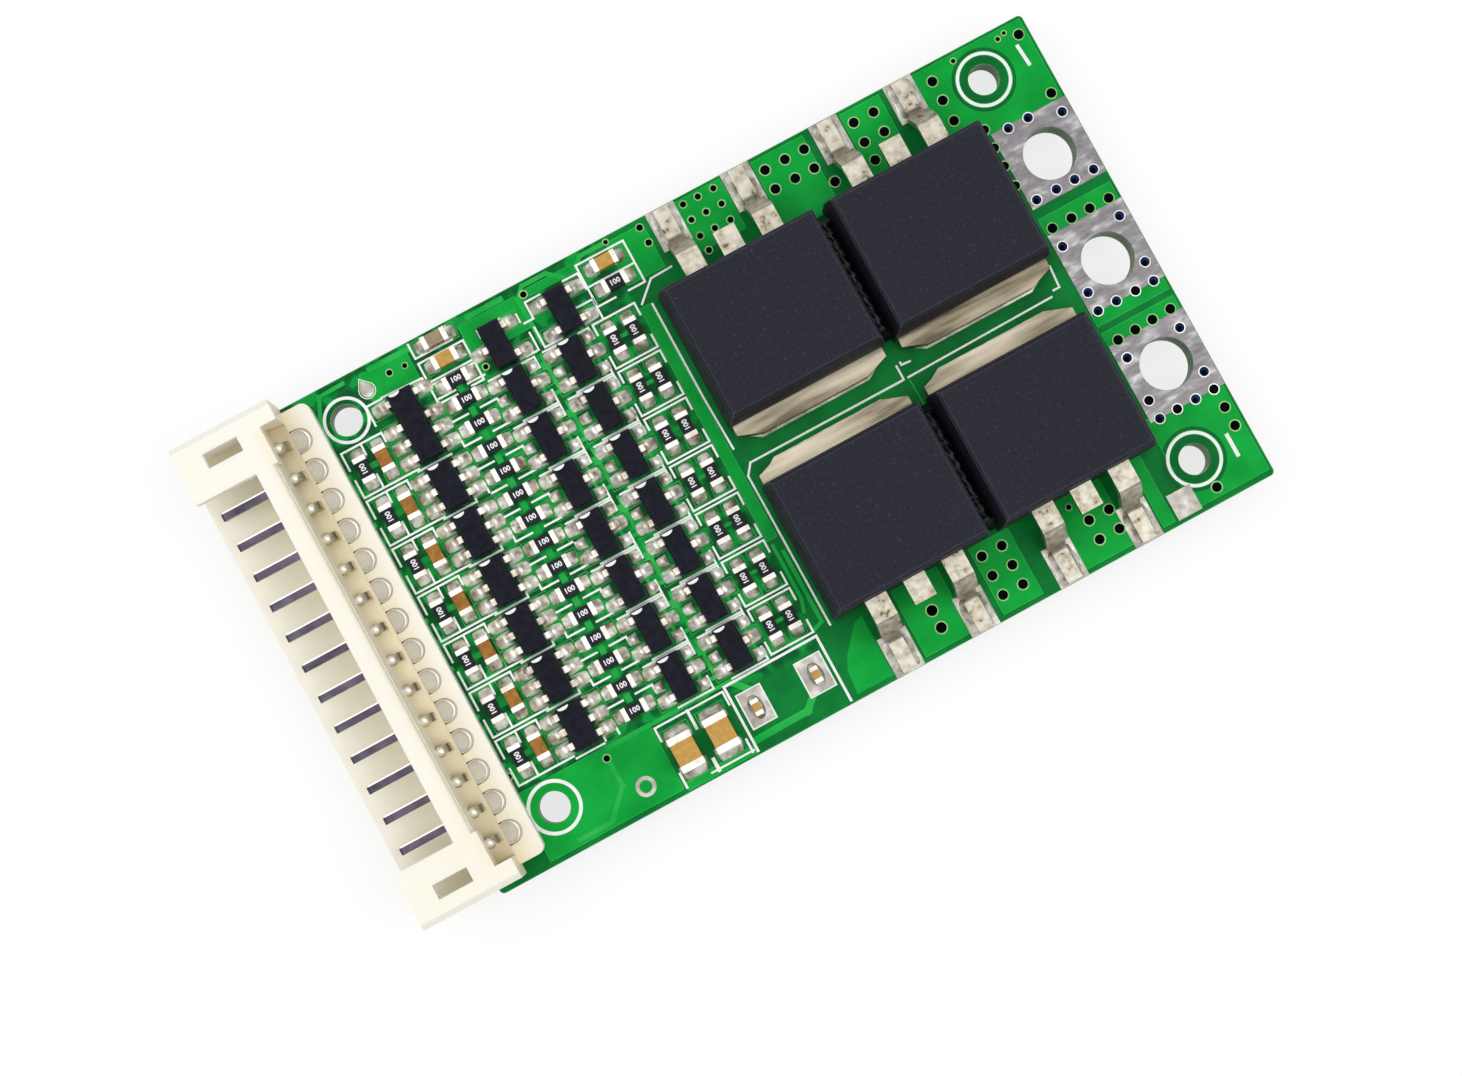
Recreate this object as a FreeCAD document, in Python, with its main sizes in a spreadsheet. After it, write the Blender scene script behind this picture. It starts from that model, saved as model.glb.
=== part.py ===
import FreeCAD, Part
import os
import Sketcher

# Battery management board, modelled in millimetres with +Z up.
# The X axis runs along the board, from the cell header at -X to the power terminals at +X.
# The origin is the middle of the four mounting holes, on the underside of the board.

os.makedirs("parts", exist_ok=True)
doc = FreeCAD.newDocument("battery_management_board")
Vector = FreeCAD.Vector

# Driving sizes
SIZES = [
    # Board
    ("board_thickness", 1.6),
    ("board_corner_radius", 0.3),
    ("edge_gap", 0.15),
    ("pin_setback", 1.45),
    ("terminal_edge_margin", 0.95),
    ("mounting_hole_diameter", 1.9),
    ("mounting_inset_top", 2.45),
    ("mounting_inset_bottom", 3.05),
    ("header_to_mounting_hole", 0.55),
    ("mosfet_to_mounting_hole", 1.15),
    ("terminal_hole_diameter", 3.2),
    ("terminal_pitch", 7.2),
    ("terminal_count", 3),
    ("test_hole_diameter", 0.7),
    ("test_hole_shift", 1.55),
    ("test_hole_inset", 1.55),
    # Cell header
    ("pin_pitch", 2.0),
    ("pin_count", 14),
    ("pin_size", 0.5),
    ("pin_hole_diameter", 0.85),
    ("pin_height", 2.4),
    ("pin_tail", 1.8),
    ("pin_contact_length", 5.2),
    ("pin_bend_outer", 0.6),
    ("pin_bend_inner", 0.1),
    ("pin_point", 0.15),
    ("header_height", 4.8),
    ("header_front_reach", 5.9),
    ("header_rear_reach", 2.2),
    ("header_floor", 0.9),
    ("header_wall_front", 2.05),
    ("header_wall_rear", 0.6),
    ("header_wall_slope", 0.25),
    ("header_wall_crown", 0.3),
    ("flange_height", 1.6),
    ("flange_gap", 0.46),
    ("flange_end_margin", 1.95),
    ("flange_corner_radius", 0.5),
    ("ear_end_margin", 2.6),
    ("ear_cover", 1.0),
    ("ear_arm_width", 1.3),
    ("ear_roof", 0.9),
    ("ear_side_wall", 1.0),
    ("ear_chamfer", 0.35),
    ("ear_slot_length", 2.2),
    ("ear_slot_width", 0.9),
    ("ear_slot_margin", 1.15),
    ("notch_width", 1.5),
    ("notch_depth", 1.1),
    # Columns of small parts, from the header to the power transistors
    ("row_count", 7),
    ("row_gap", 0.32),
    ("row_centre", 0.25),
    ("switch_row_centre", -0.05),
    ("filter_gap", 0.65),
    ("filter_pair_gap", 0.55),
    ("monitor_gap", 0.8),
    ("series_gap", 1.15),
    ("switch_gap", 1.15),
    ("switch_pair_gap", 1.35),
    ("bleed_gap", 0.9),
    ("bleed_pair_gap", 0.5),
    ("upper_part_pitch", 1.35),
    ("upper_switch_gap", 0.2),
    ("upper_switch_shift", 0.65),
    ("output_shift", 0.35),
    ("output_inset", 1.4),
    ("storage_shift", 1.5),
    ("storage_pitch", 2.35),
    ("storage_inset", 2.25),
    ("sense_shift", 0.5),
    ("sense_pitch", 4.0),
    ("sense_inset", 2.55),
    # Chip resistors and capacitors
    ("chip_length", 1.6),
    ("chip_width", 0.8),
    ("chip_end", 0.3),
    ("chip_plating", 0.02),
    ("resistor_height", 0.45),
    ("capacitor_height", 0.8),
    ("storage_length", 2.2),
    ("storage_width", 1.5),
    ("storage_height", 1.25),
    ("storage_end", 0.42),
    ("sense_length", 1.0),
    ("sense_width", 0.5),
    ("sense_height", 0.5),
    ("sense_end", 0.25),
    # Small moulded packages
    ("package_standoff", 0.08),
    ("package_height", 1.1),
    ("package_draft", 8),
    ("package_edge_chamfer", 0.08),
    ("package_lead_level", 0.5),
    ("package_lead_thickness", 0.15),
    ("package_lead_width", 0.4),
    ("package_lead_knee", 0.12),
    ("package_lead_slope", 0.12),
    ("monitor_length", 2.9),
    ("monitor_width", 1.6),
    ("monitor_span", 2.8),
    ("monitor_lead_pitch", 0.95),
    ("controller_length", 4.6),
    ("controller_lead_pitch", 1.02),
    ("controller_lead_inset", 0.52),
    ("controller_lead_step", 1.55),
    ("switch_length", 2.85),
    ("switch_width", 1.4),
    ("switch_span", 2.4),
    ("switch_lead_pitch", 1.9),
    # Power transistors
    ("mosfet_row_gap", 1.6),
    ("mosfet_column_gap", 0.8),
    ("mosfet_margin", 1.75),
    ("mosfet_to_terminal_hole", 1.8),
    ("mosfet_width", 10.3),
    ("mosfet_length", 8.95),
    ("mosfet_height", 4.4),
    ("mosfet_draft", 6),
    ("mosfet_edge_chamfer", 0.15),
    ("tab_thickness", 1.27),
    ("tab_side_margin", 0.15),
    ("tab_reach", 1.15),
    ("tab_corner_across", 1.5),
    ("tab_corner_along", 0.55),
    ("slug_side_margin", 0.95),
    ("slug_depth", 6.0),
    ("lead_pitch", 2.54),
    ("lead_thickness", 0.5),
    ("lead_level", 2.4),
    ("lead_root", 0.6),
    ("lead_shoulder", 1.2),
    ("lead_drop", 1.2),
    ("lead_foot", 2.3),
    ("lead_wide", 1.4),
    ("lead_foot_width", 0.95),
    ("lead_wide_reach", 2.3),
    ("lead_bend_radius", 0.3),
    ("stub_length", 1.5),
]

sheet = doc.addObject("Spreadsheet::Sheet", "Sizes")
for row, (name, number) in enumerate(SIZES, start=1):
    sheet.set("A%d" % row, name.replace("_", " "))
    sheet.set("B%d" % row, str(number))
    sheet.setAlias("B%d" % row, name)
doc.recompute()

# Derived places and lengths, each worked out from the driving sizes
layout = doc.addObject("App::VarSet", "Layout")


def derive(name, expression):
    """Add a derived value that other expressions can use as Layout.name."""
    layout.addProperty("App::PropertyFloat", name, "Layout")
    layout.setExpression(name, expression)


# Along the board, first measured from the header end of the board
derive("pin_u", "Sizes.pin_setback")
derive("header_rear_u", "Layout.pin_u + Sizes.header_rear_reach")
derive("filter_u", "Layout.header_rear_u + Sizes.filter_gap + Sizes.chip_width / 2")
derive("filter_capacitor_u", "Layout.filter_u + Sizes.chip_width + Sizes.filter_pair_gap")
derive("monitor_u", "Layout.filter_capacitor_u + Sizes.chip_width / 2 + Sizes.monitor_gap + Sizes.monitor_span / 2")
derive("series_u", "Layout.monitor_u + Sizes.monitor_span / 2 + Sizes.series_gap + Sizes.chip_length / 2")
derive("left_switch_u", "Layout.series_u + Sizes.chip_length / 2 + Sizes.switch_gap + Sizes.switch_span / 2")
derive("right_switch_u", "Layout.left_switch_u + Sizes.switch_span + Sizes.switch_pair_gap")
derive("left_bleed_u", "Layout.right_switch_u + Sizes.switch_span / 2 + Sizes.bleed_gap + Sizes.chip_width / 2")
derive("right_bleed_u", "Layout.left_bleed_u + Sizes.chip_width + Sizes.bleed_pair_gap")
derive("left_mosfet_u", "Layout.right_bleed_u + Sizes.chip_width / 2 + Sizes.mosfet_margin + Sizes.mosfet_width / 2")
derive("right_mosfet_u", "Layout.left_mosfet_u + Sizes.mosfet_width + Sizes.mosfet_column_gap")
derive("mosfet_end_u", "Layout.right_mosfet_u + Sizes.mosfet_width / 2")
derive("terminal_u", "Layout.mosfet_end_u + Sizes.mosfet_to_terminal_hole + Sizes.terminal_hole_diameter / 2")
derive("board_length", "Layout.terminal_u + Sizes.terminal_hole_diameter / 2 + Sizes.terminal_edge_margin")
derive("left_hole_u", "Layout.header_rear_u + Sizes.header_to_mounting_hole + Sizes.mounting_hole_diameter / 2")
derive("right_hole_u", "Layout.mosfet_end_u + Sizes.mosfet_to_mounting_hole + Sizes.mounting_hole_diameter / 2")
derive("origin_u", "(Layout.left_hole_u + Layout.right_hole_u) / 2")
derive("mounting_span_along", "Layout.right_hole_u - Layout.left_hole_u")

# The same places from the origin
for place in (
    "pin",
    "filter",
    "filter_capacitor",
    "monitor",
    "series",
    "left_switch",
    "right_switch",
    "left_bleed",
    "right_bleed",
    "left_mosfet",
    "right_mosfet",
    "terminal",
):
    derive(place + "_x", "Layout.%s_u - Layout.origin_u" % place)
derive("board_centre_x", "Layout.board_length / 2 - Layout.origin_u")

# Across the board, from the two rows of power transistors outward
derive("lead_reach", "Sizes.lead_shoulder + Sizes.lead_drop + Sizes.lead_foot")
derive("mosfet_overall", "Sizes.tab_reach + Sizes.mosfet_length + Layout.lead_reach")
derive("board_width", "2 * Layout.mosfet_overall + Sizes.mosfet_row_gap + 2 * Sizes.edge_gap")
derive("mounting_span_across", "Layout.board_width - Sizes.mounting_inset_top - Sizes.mounting_inset_bottom")
derive("board_top_y", "Layout.mounting_span_across / 2 + Sizes.mounting_inset_top")
derive("board_bottom_y", "Layout.board_top_y - Layout.board_width")
derive("board_centre_y", "(Layout.board_top_y + Layout.board_bottom_y) / 2")
derive("mosfet_row_middle", "Layout.board_centre_y")
derive("mosfet_offset", "Sizes.mosfet_row_gap / 2 + Sizes.tab_reach + Sizes.mosfet_length / 2")
derive("upper_mosfet_y", "Layout.mosfet_row_middle + Layout.mosfet_offset")
derive("lower_mosfet_y", "Layout.mosfet_row_middle - Layout.mosfet_offset")
derive("row_pitch", "Sizes.monitor_length + Sizes.row_gap")
derive("half_rows", "(Sizes.row_count - 1) / 2 * Layout.row_pitch")
derive("last_row_y", "Sizes.row_centre - Layout.half_rows")
derive("last_switch_y", "Sizes.switch_row_centre - Layout.half_rows")
derive("series_pitch", "Layout.row_pitch / 2")
derive("last_series_y", "Layout.last_row_y - Layout.series_pitch / 2")
derive("series_count", "2 * Sizes.row_count")
derive("upper_series_y", "Layout.last_series_y + (Layout.series_count - 1) * Layout.series_pitch + Sizes.upper_part_pitch")
derive("supply_y", "Layout.upper_series_y + Sizes.upper_part_pitch")
derive("upper_switch_y", "Layout.last_switch_y + 2 * Layout.half_rows + Sizes.switch_length + Sizes.upper_switch_gap")
derive("controller_low_y", "Layout.last_row_y + 2 * Layout.half_rows - Sizes.monitor_length / 2")
derive("controller_y", "Layout.controller_low_y + Sizes.controller_length / 2")
derive("output_x", "Layout.right_bleed_x + Sizes.output_shift")
derive("output_capacitor_y", "Layout.board_top_y - Sizes.output_inset")
derive("storage_x", "Layout.series_x + Sizes.storage_shift")
derive("storage_y", "Layout.board_bottom_y + Sizes.storage_inset")
derive("sense_x", "Layout.right_switch_x - Sizes.sense_shift")
derive("sense_y", "Layout.board_bottom_y + Sizes.sense_inset")
derive("terminal_last_y", "-(Sizes.terminal_count - 1) / 2 * Sizes.terminal_pitch")
derive("pin_last_y", "-(Sizes.pin_count - 1) / 2 * Sizes.pin_pitch")
doc.recompute()


def value(expression):
    """Current number behind an expression."""
    return float(layout.evalExpression(expression))


def origin_feature(body, role):
    """Plane or axis of a body's own origin."""
    for feature in body.Origin.OriginFeatures:
        if feature.Role == role:
            return feature
    raise ValueError(role)


def new_body(name):
    """Sub-part that may hold several separate solids."""
    body = doc.addObject("PartDesign::Body", name)
    body.Label = name
    body.AllowCompound = True
    return body


def sketch_on(body, name, role, offset="0"):
    """Empty sketch on one of the body's origin planes, moved along the plane's normal."""
    sketch = body.newObject("Sketcher::SketchObject", name)
    sketch.AttachmentSupport = [(origin_feature(body, role), "")]
    sketch.MapMode = "FlatFace"
    sketch.setExpression("AttachmentOffset.Base.z", offset)
    return sketch


def profile(sketch, points):
    """Closed outline through points given as pairs of expressions."""
    first = sketch.GeometryCount
    corners = [Vector(value(across), value(along), 0) for across, along in points]
    count = len(corners)
    for index in range(count):
        sketch.addGeometry(Part.LineSegment(corners[index], corners[(index + 1) % count]))
    for index in range(count):
        following = first + (index + 1) % count
        sketch.addConstraint(Sketcher.Constraint("Coincident", first + index, 2, following, 1))
    for index, (across, along) in enumerate(points):
        start = corners[index]
        number = sketch.addConstraint(Sketcher.Constraint("DistanceX", -1, 1, first + index, 1, start.x))
        sketch.setExpression("Constraints[%d]" % number, across)
        number = sketch.addConstraint(Sketcher.Constraint("DistanceY", -1, 1, first + index, 1, start.y))
        sketch.setExpression("Constraints[%d]" % number, along)


def rectangle(sketch, across, along, width, depth):
    """Rectangle about a centre, all four values as expressions."""
    left = "%s - (%s) / 2" % (across, width)
    right = "%s + (%s) / 2" % (across, width)
    low = "%s - (%s) / 2" % (along, depth)
    high = "%s + (%s) / 2" % (along, depth)
    profile(sketch, [(left, low), (right, low), (right, high), (left, high)])


def circle(sketch, across, along, diameter):
    """Circle about a centre, all three values as expressions."""
    centre = Vector(value(across), value(along), 0)
    index = sketch.addGeometry(Part.Circle(centre, Vector(0, 0, 1), value(diameter) / 2))
    number = sketch.addConstraint(Sketcher.Constraint("DistanceX", -1, 1, index, 3, centre.x))
    sketch.setExpression("Constraints[%d]" % number, across)
    number = sketch.addConstraint(Sketcher.Constraint("DistanceY", -1, 1, index, 3, centre.y))
    sketch.setExpression("Constraints[%d]" % number, along)
    number = sketch.addConstraint(Sketcher.Constraint("Diameter", index, value(diameter)))
    sketch.setExpression("Constraints[%d]" % number, diameter)


def pad(body, name, sketch, length, symmetric=False, draft=None):
    """Raise a sketch by a length, on one side or both."""
    feature = body.newObject("PartDesign::Pad", name)
    feature.Profile = sketch
    feature.setExpression("Length", length)
    if symmetric:
        feature.SideType = "Symmetric"
    if draft:
        feature.setExpression("TaperAngle", "-(%s)" % draft)
    body.Tip = feature
    return feature


def pocket(body, name, sketch, length=None, symmetric=False, inverted=False):
    """Cut a sketch by a length, or right through where no length is given."""
    feature = body.newObject("PartDesign::Pocket", name)
    feature.Profile = sketch
    if length:
        feature.setExpression("Length", length)
    else:
        feature.Type = "ThroughAll"
    if symmetric:
        feature.SideType = "Symmetric"
    feature.Reversed = inverted
    body.Tip = feature
    return feature


def repeat_whole(body, name, role, pitch, count):
    """Repeat everything built so far in a body along one axis."""
    pattern = body.newObject("PartDesign::LinearPattern", name)
    pattern.TransformMode = "Whole shape"
    pattern.Direction = (origin_feature(body, role), [""])
    pattern.Mode = "Spacing"
    pattern.setExpression("Offset", pitch)
    pattern.setExpression("Occurrences", count)
    body.Tip = pattern


def repeat(body, name, originals, steps):
    """Repeat features along axes; each step is a role, a pitch and a count."""
    patterns = []
    for number, (role, pitch, count) in enumerate(steps, start=1):
        if len(steps) == 1:
            pattern = body.newObject("PartDesign::LinearPattern", name)
            pattern.Originals = originals
        else:
            pattern = doc.addObject("PartDesign::LinearPattern", "%s_%d" % (name, number))
        pattern.Direction = (origin_feature(body, role), [""])
        pattern.Mode = "Spacing"
        pattern.setExpression("Offset", pitch)
        pattern.setExpression("Occurrences", count)
        patterns.append(pattern)
    if len(steps) == 1:
        body.Tip = patterns[0]
        return
    grid = body.newObject("PartDesign::MultiTransform", name)
    grid.Originals = originals
    grid.Transformations = patterns
    body.Tip = grid


def edges_of(feature, test):
    """Names of a feature's edges that pass a test."""
    doc.recompute()
    return ["Edge%d" % number for number, edge in enumerate(feature.Shape.Edges, start=1) if test(edge)]


def runs_along(edge, axis):
    """True for a straight edge along X, Y or Z."""
    start, end = edge.Vertexes[0].Point, edge.Vertexes[-1].Point
    step = end - start
    sideways = [abs(step[other]) for other in range(3) if other != axis]
    return step.Length > 1e-6 and max(sideways) < 1e-6


def lies_at(edge, axis, place):
    """True where an edge lies wholly at one place along an axis."""
    return all(abs(vertex.Point[axis] - place) < 1e-4 for vertex in edge.Vertexes)


def dress(body, name, kind, feature, edges, setting, size):
    """Fillet or chamfer on named edges."""
    result = body.newObject(kind, name)
    result.Base = (feature, edges)
    result.setExpression(setting, size)
    body.Tip = result
    return result


# Laminate board
board = new_body("board")
outline = sketch_on(board, "board_outline", "XY_Plane")
rectangle(outline, "Layout.board_centre_x", "Layout.board_centre_y", "Layout.board_length", "Layout.board_width")
slab = pad(board, "board_slab", outline, "Sizes.board_thickness")
corners = edges_of(slab, lambda edge: runs_along(edge, 2))
dress(board, "board_corners", "PartDesign::Fillet", slab, corners, "Radius", "Sizes.board_corner_radius")

mounting_sketch = sketch_on(board, "mounting_hole_sketch", "XY_Plane", "Sizes.board_thickness")
circle(
    mounting_sketch,
    "-Layout.mounting_span_along / 2",
    "-Layout.mounting_span_across / 2",
    "Sizes.mounting_hole_diameter",
)
mounting_hole = pocket(board, "mounting_hole", mounting_sketch)
repeat(
    board,
    "mounting_holes",
    [mounting_hole],
    [("X_Axis", "Layout.mounting_span_along", "2"), ("Y_Axis", "Layout.mounting_span_across", "2")],
)

terminal_sketch = sketch_on(board, "terminal_hole_sketch", "XY_Plane", "Sizes.board_thickness")
circle(terminal_sketch, "Layout.terminal_x", "Layout.terminal_last_y", "Sizes.terminal_hole_diameter")
terminal_hole = pocket(board, "terminal_hole", terminal_sketch)
repeat(board, "terminal_holes", [terminal_hole], [("Y_Axis", "Sizes.terminal_pitch", "Sizes.terminal_count")])

pin_hole_sketch = sketch_on(board, "pin_hole_sketch", "XY_Plane", "Sizes.board_thickness")
circle(pin_hole_sketch, "Layout.pin_x", "Layout.pin_last_y", "Sizes.pin_hole_diameter")
pin_hole = pocket(board, "pin_hole", pin_hole_sketch)
repeat(board, "pin_holes", [pin_hole], [("Y_Axis", "Sizes.pin_pitch", "Sizes.pin_count")])

test_sketch = sketch_on(board, "test_hole_sketch", "XY_Plane", "Sizes.board_thickness")
circle(
    test_sketch,
    "Layout.series_x - Sizes.test_hole_shift",
    "Layout.board_bottom_y + Sizes.test_hole_inset",
    "Sizes.test_hole_diameter",
)
pocket(board, "test_hole", test_sketch)

# Cell header housing, one moulding that sits on the board and overhangs its end
derive("housing_front_x", "Layout.pin_x - Sizes.header_front_reach")
derive("housing_rear_x", "Layout.pin_x + Sizes.header_rear_reach")
derive("wall_front_x", "Layout.pin_x - Sizes.header_wall_front")
derive("wall_rear_x", "Layout.pin_x - Sizes.header_wall_rear")
derive("wall_top_rear_x", "Layout.wall_rear_x - Sizes.header_wall_slope")
derive("flange_inner_x", "Layout.pin_x + Sizes.flange_gap")
derive("housing_base_z", "Sizes.board_thickness")
derive("housing_floor_z", "Layout.housing_base_z + Sizes.header_floor")
derive("housing_top_z", "Layout.housing_base_z + Sizes.header_height")
derive("flange_top_z", "Layout.housing_base_z + Sizes.flange_height")
derive("pin_span", "(Sizes.pin_count - 1) * Sizes.pin_pitch")
derive("flange_width", "Layout.pin_span + 2 * Sizes.flange_end_margin")
derive("ear_outer_y", "Layout.pin_span / 2 + Sizes.ear_end_margin")
derive("ear_inner_y", "Layout.pin_span / 2 - Sizes.ear_cover")
derive("ear_arm_y", "Layout.ear_outer_y - Sizes.ear_arm_width")
derive("cavity_width", "2 * (Layout.ear_outer_y - Sizes.ear_side_wall)")
derive("pin_axis_z", "Layout.housing_base_z + Sizes.pin_height")
doc.recompute()

housing = new_body("header_housing")
side = sketch_on(housing, "housing_side", "XZ_Plane")
profile(
    side,
    [
        ("Layout.housing_front_x", "Layout.housing_base_z"),
        ("Layout.housing_rear_x", "Layout.housing_base_z"),
        ("Layout.housing_rear_x", "Layout.flange_top_z"),
        ("Layout.flange_inner_x", "Layout.flange_top_z"),
        ("Layout.flange_inner_x", "Layout.housing_floor_z"),
        ("Layout.wall_rear_x", "Layout.housing_floor_z"),
        ("Layout.wall_top_rear_x", "Layout.housing_top_z"),
        ("Layout.wall_front_x", "Layout.housing_top_z"),
        ("Layout.wall_front_x", "Layout.housing_floor_z"),
        ("Layout.housing_front_x", "Layout.housing_floor_z"),
    ],
)
housing_spine = pad(housing, "housing_spine", side, "Layout.flange_width", symmetric=True)
corner_edges = edges_of(
    housing_spine,
    lambda edge: runs_along(edge, 2) and lies_at(edge, 0, value("Layout.housing_rear_x")),
)
flange_corners = dress(
    housing,
    "flange_corners",
    "PartDesign::Fillet",
    housing_spine,
    corner_edges,
    "Radius",
    "Sizes.flange_corner_radius",
)
crown_edges = edges_of(
    flange_corners,
    lambda edge: runs_along(edge, 1)
    and lies_at(edge, 0, value("Layout.wall_top_rear_x"))
    and lies_at(edge, 2, value("Layout.housing_top_z")),
)
dress(
    housing,
    "wall_crown",
    "PartDesign::Fillet",
    flange_corners,
    crown_edges,
    "Radius",
    "Sizes.header_wall_crown",
)

# Ears: hollow end blocks, each with an arm beside the pin trough
ear_sketch = sketch_on(housing, "ear_sketch", "XY_Plane", "Layout.housing_base_z")
for side_sign in ("", "-"):
    profile(
        ear_sketch,
        [
            ("Layout.housing_front_x", side_sign + "Layout.ear_inner_y"),
            ("Layout.wall_rear_x", side_sign + "Layout.ear_inner_y"),
            ("Layout.wall_rear_x", side_sign + "Layout.ear_arm_y"),
            ("Layout.flange_inner_x", side_sign + "Layout.ear_arm_y"),
            ("Layout.flange_inner_x", side_sign + "Layout.ear_outer_y"),
            ("Layout.housing_front_x", side_sign + "Layout.ear_outer_y"),
        ],
    )
ears = pad(housing, "ears", ear_sketch, "Sizes.header_height")
outer_edges = edges_of(
    ears,
    lambda edge: runs_along(edge, 0)
    and lies_at(edge, 2, value("Layout.housing_top_z"))
    and abs(abs(edge.Vertexes[0].Point.y) - value("Layout.ear_outer_y")) < 1e-4,
)
dress(housing, "ear_chamfers", "PartDesign::Chamfer", ears, outer_edges, "Size", "Sizes.ear_chamfer")

mouth_sketch = sketch_on(housing, "mouth_sketch", "YZ_Plane", "Layout.housing_front_x")
rectangle(
    mouth_sketch,
    "0",
    "Layout.housing_floor_z + (Sizes.header_height - Sizes.header_floor - Sizes.ear_roof) / 2",
    "Layout.cavity_width",
    "Sizes.header_height - Sizes.header_floor - Sizes.ear_roof",
)
pocket(housing, "mouth", mouth_sketch, "Layout.wall_front_x - Layout.housing_front_x", inverted=True)

slot_sketch = sketch_on(housing, "slot_sketch", "XY_Plane", "Layout.housing_top_z")
for side_sign in ("", "-"):
    rectangle(
        slot_sketch,
        "Layout.wall_front_x - Sizes.ear_slot_length / 2",
        side_sign + "(Layout.ear_outer_y - Sizes.ear_slot_margin - Sizes.ear_slot_width / 2)",
        "Sizes.ear_slot_length",
        "Sizes.ear_slot_width",
    )
pocket(housing, "ear_slots", slot_sketch, "Sizes.ear_roof")

# Bores for the contact posts, a press fit on the posts themselves
post_sketch = sketch_on(housing, "post_bore_sketch", "YZ_Plane", "Layout.wall_front_x")
rectangle(post_sketch, "Layout.pin_last_y", "Layout.pin_axis_z", "Sizes.pin_size", "Sizes.pin_size")
post_bore = pocket(
    housing,
    "post_bore",
    post_sketch,
    "Layout.wall_rear_x - Layout.wall_front_x",
    inverted=True,
)
leg_sketch = sketch_on(housing, "leg_bore_sketch", "XY_Plane", "Layout.housing_floor_z")
rectangle(leg_sketch, "Layout.pin_x", "Layout.pin_last_y", "Sizes.pin_size", "Sizes.pin_size")
leg_bore = pocket(housing, "leg_bore", leg_sketch, "Sizes.header_floor")

# Round-ended notches in the rear flange, open towards the bent legs
notch_sketch = sketch_on(housing, "notch_sketch", "XY_Plane", "Layout.flange_top_z")
derive("notch_end_x", "Layout.flange_inner_x + Sizes.notch_depth - Sizes.notch_width / 2")
doc.recompute()
rectangle(
    notch_sketch,
    "(Layout.flange_inner_x + Layout.notch_end_x) / 2",
    "Layout.pin_last_y",
    "Layout.notch_end_x - Layout.flange_inner_x",
    "Sizes.notch_width",
)
notch = pocket(housing, "notch", notch_sketch, "Sizes.flange_height")
notch_round_sketch = sketch_on(housing, "notch_round_sketch", "XY_Plane", "Layout.flange_top_z")
circle(notch_round_sketch, "Layout.notch_end_x", "Layout.pin_last_y", "Sizes.notch_width")
notch_round = pocket(housing, "notch_round", notch_round_sketch, "Sizes.flange_height")
repeat(
    housing,
    "post_places",
    [post_bore, leg_bore, notch, notch_round],
    [("Y_Axis", "Sizes.pin_pitch", "Sizes.pin_count")],
)

# Header contacts, square posts bent down into the board
contacts = new_body("header_pins")
derive("pin_tip_x", "Layout.pin_x - Sizes.pin_contact_length")
derive("pin_tail_z", "-Sizes.pin_tail")
derive("pin_half", "Sizes.pin_size / 2")
doc.recompute()
pin_sketch = sketch_on(contacts, "pin_side", "XZ_Plane", "-Layout.pin_last_y")
profile(
    pin_sketch,
    [
        ("Layout.pin_tip_x", "Layout.pin_axis_z - Layout.pin_half + Sizes.pin_point"),
        ("Layout.pin_tip_x + Sizes.pin_point", "Layout.pin_axis_z - Layout.pin_half"),
        ("Layout.pin_x - Layout.pin_half", "Layout.pin_axis_z - Layout.pin_half"),
        ("Layout.pin_x - Layout.pin_half", "Layout.pin_tail_z + Sizes.pin_point"),
        ("Layout.pin_x - Layout.pin_half + Sizes.pin_point", "Layout.pin_tail_z"),
        ("Layout.pin_x + Layout.pin_half - Sizes.pin_point", "Layout.pin_tail_z"),
        ("Layout.pin_x + Layout.pin_half", "Layout.pin_tail_z + Sizes.pin_point"),
        ("Layout.pin_x + Layout.pin_half", "Layout.pin_axis_z + Layout.pin_half"),
        ("Layout.pin_tip_x + Sizes.pin_point", "Layout.pin_axis_z + Layout.pin_half"),
        ("Layout.pin_tip_x", "Layout.pin_axis_z + Layout.pin_half - Sizes.pin_point"),
    ],
)
pin = pad(contacts, "pin", pin_sketch, "Sizes.pin_size", symmetric=True)
bends = (
    ("pin_bend_out", "Layout.pin_x + Layout.pin_half", "Layout.pin_axis_z + Layout.pin_half", "Sizes.pin_bend_outer"),
    ("pin_bend_in", "Layout.pin_x - Layout.pin_half", "Layout.pin_axis_z - Layout.pin_half", "Sizes.pin_bend_inner"),
)
bent = pin
for name, across, height, radius in bends:
    bend_edges = edges_of(
        bent,
        lambda edge: runs_along(edge, 1)
        and lies_at(edge, 0, value(across))
        and lies_at(edge, 2, value(height)),
    )
    bent = dress(contacts, name, "PartDesign::Fillet", bent, bend_edges, "Radius", radius)
doc.recompute()
repeat_whole(contacts, "pins", "Y_Axis", "Sizes.pin_pitch", "Sizes.pin_count")


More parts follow.
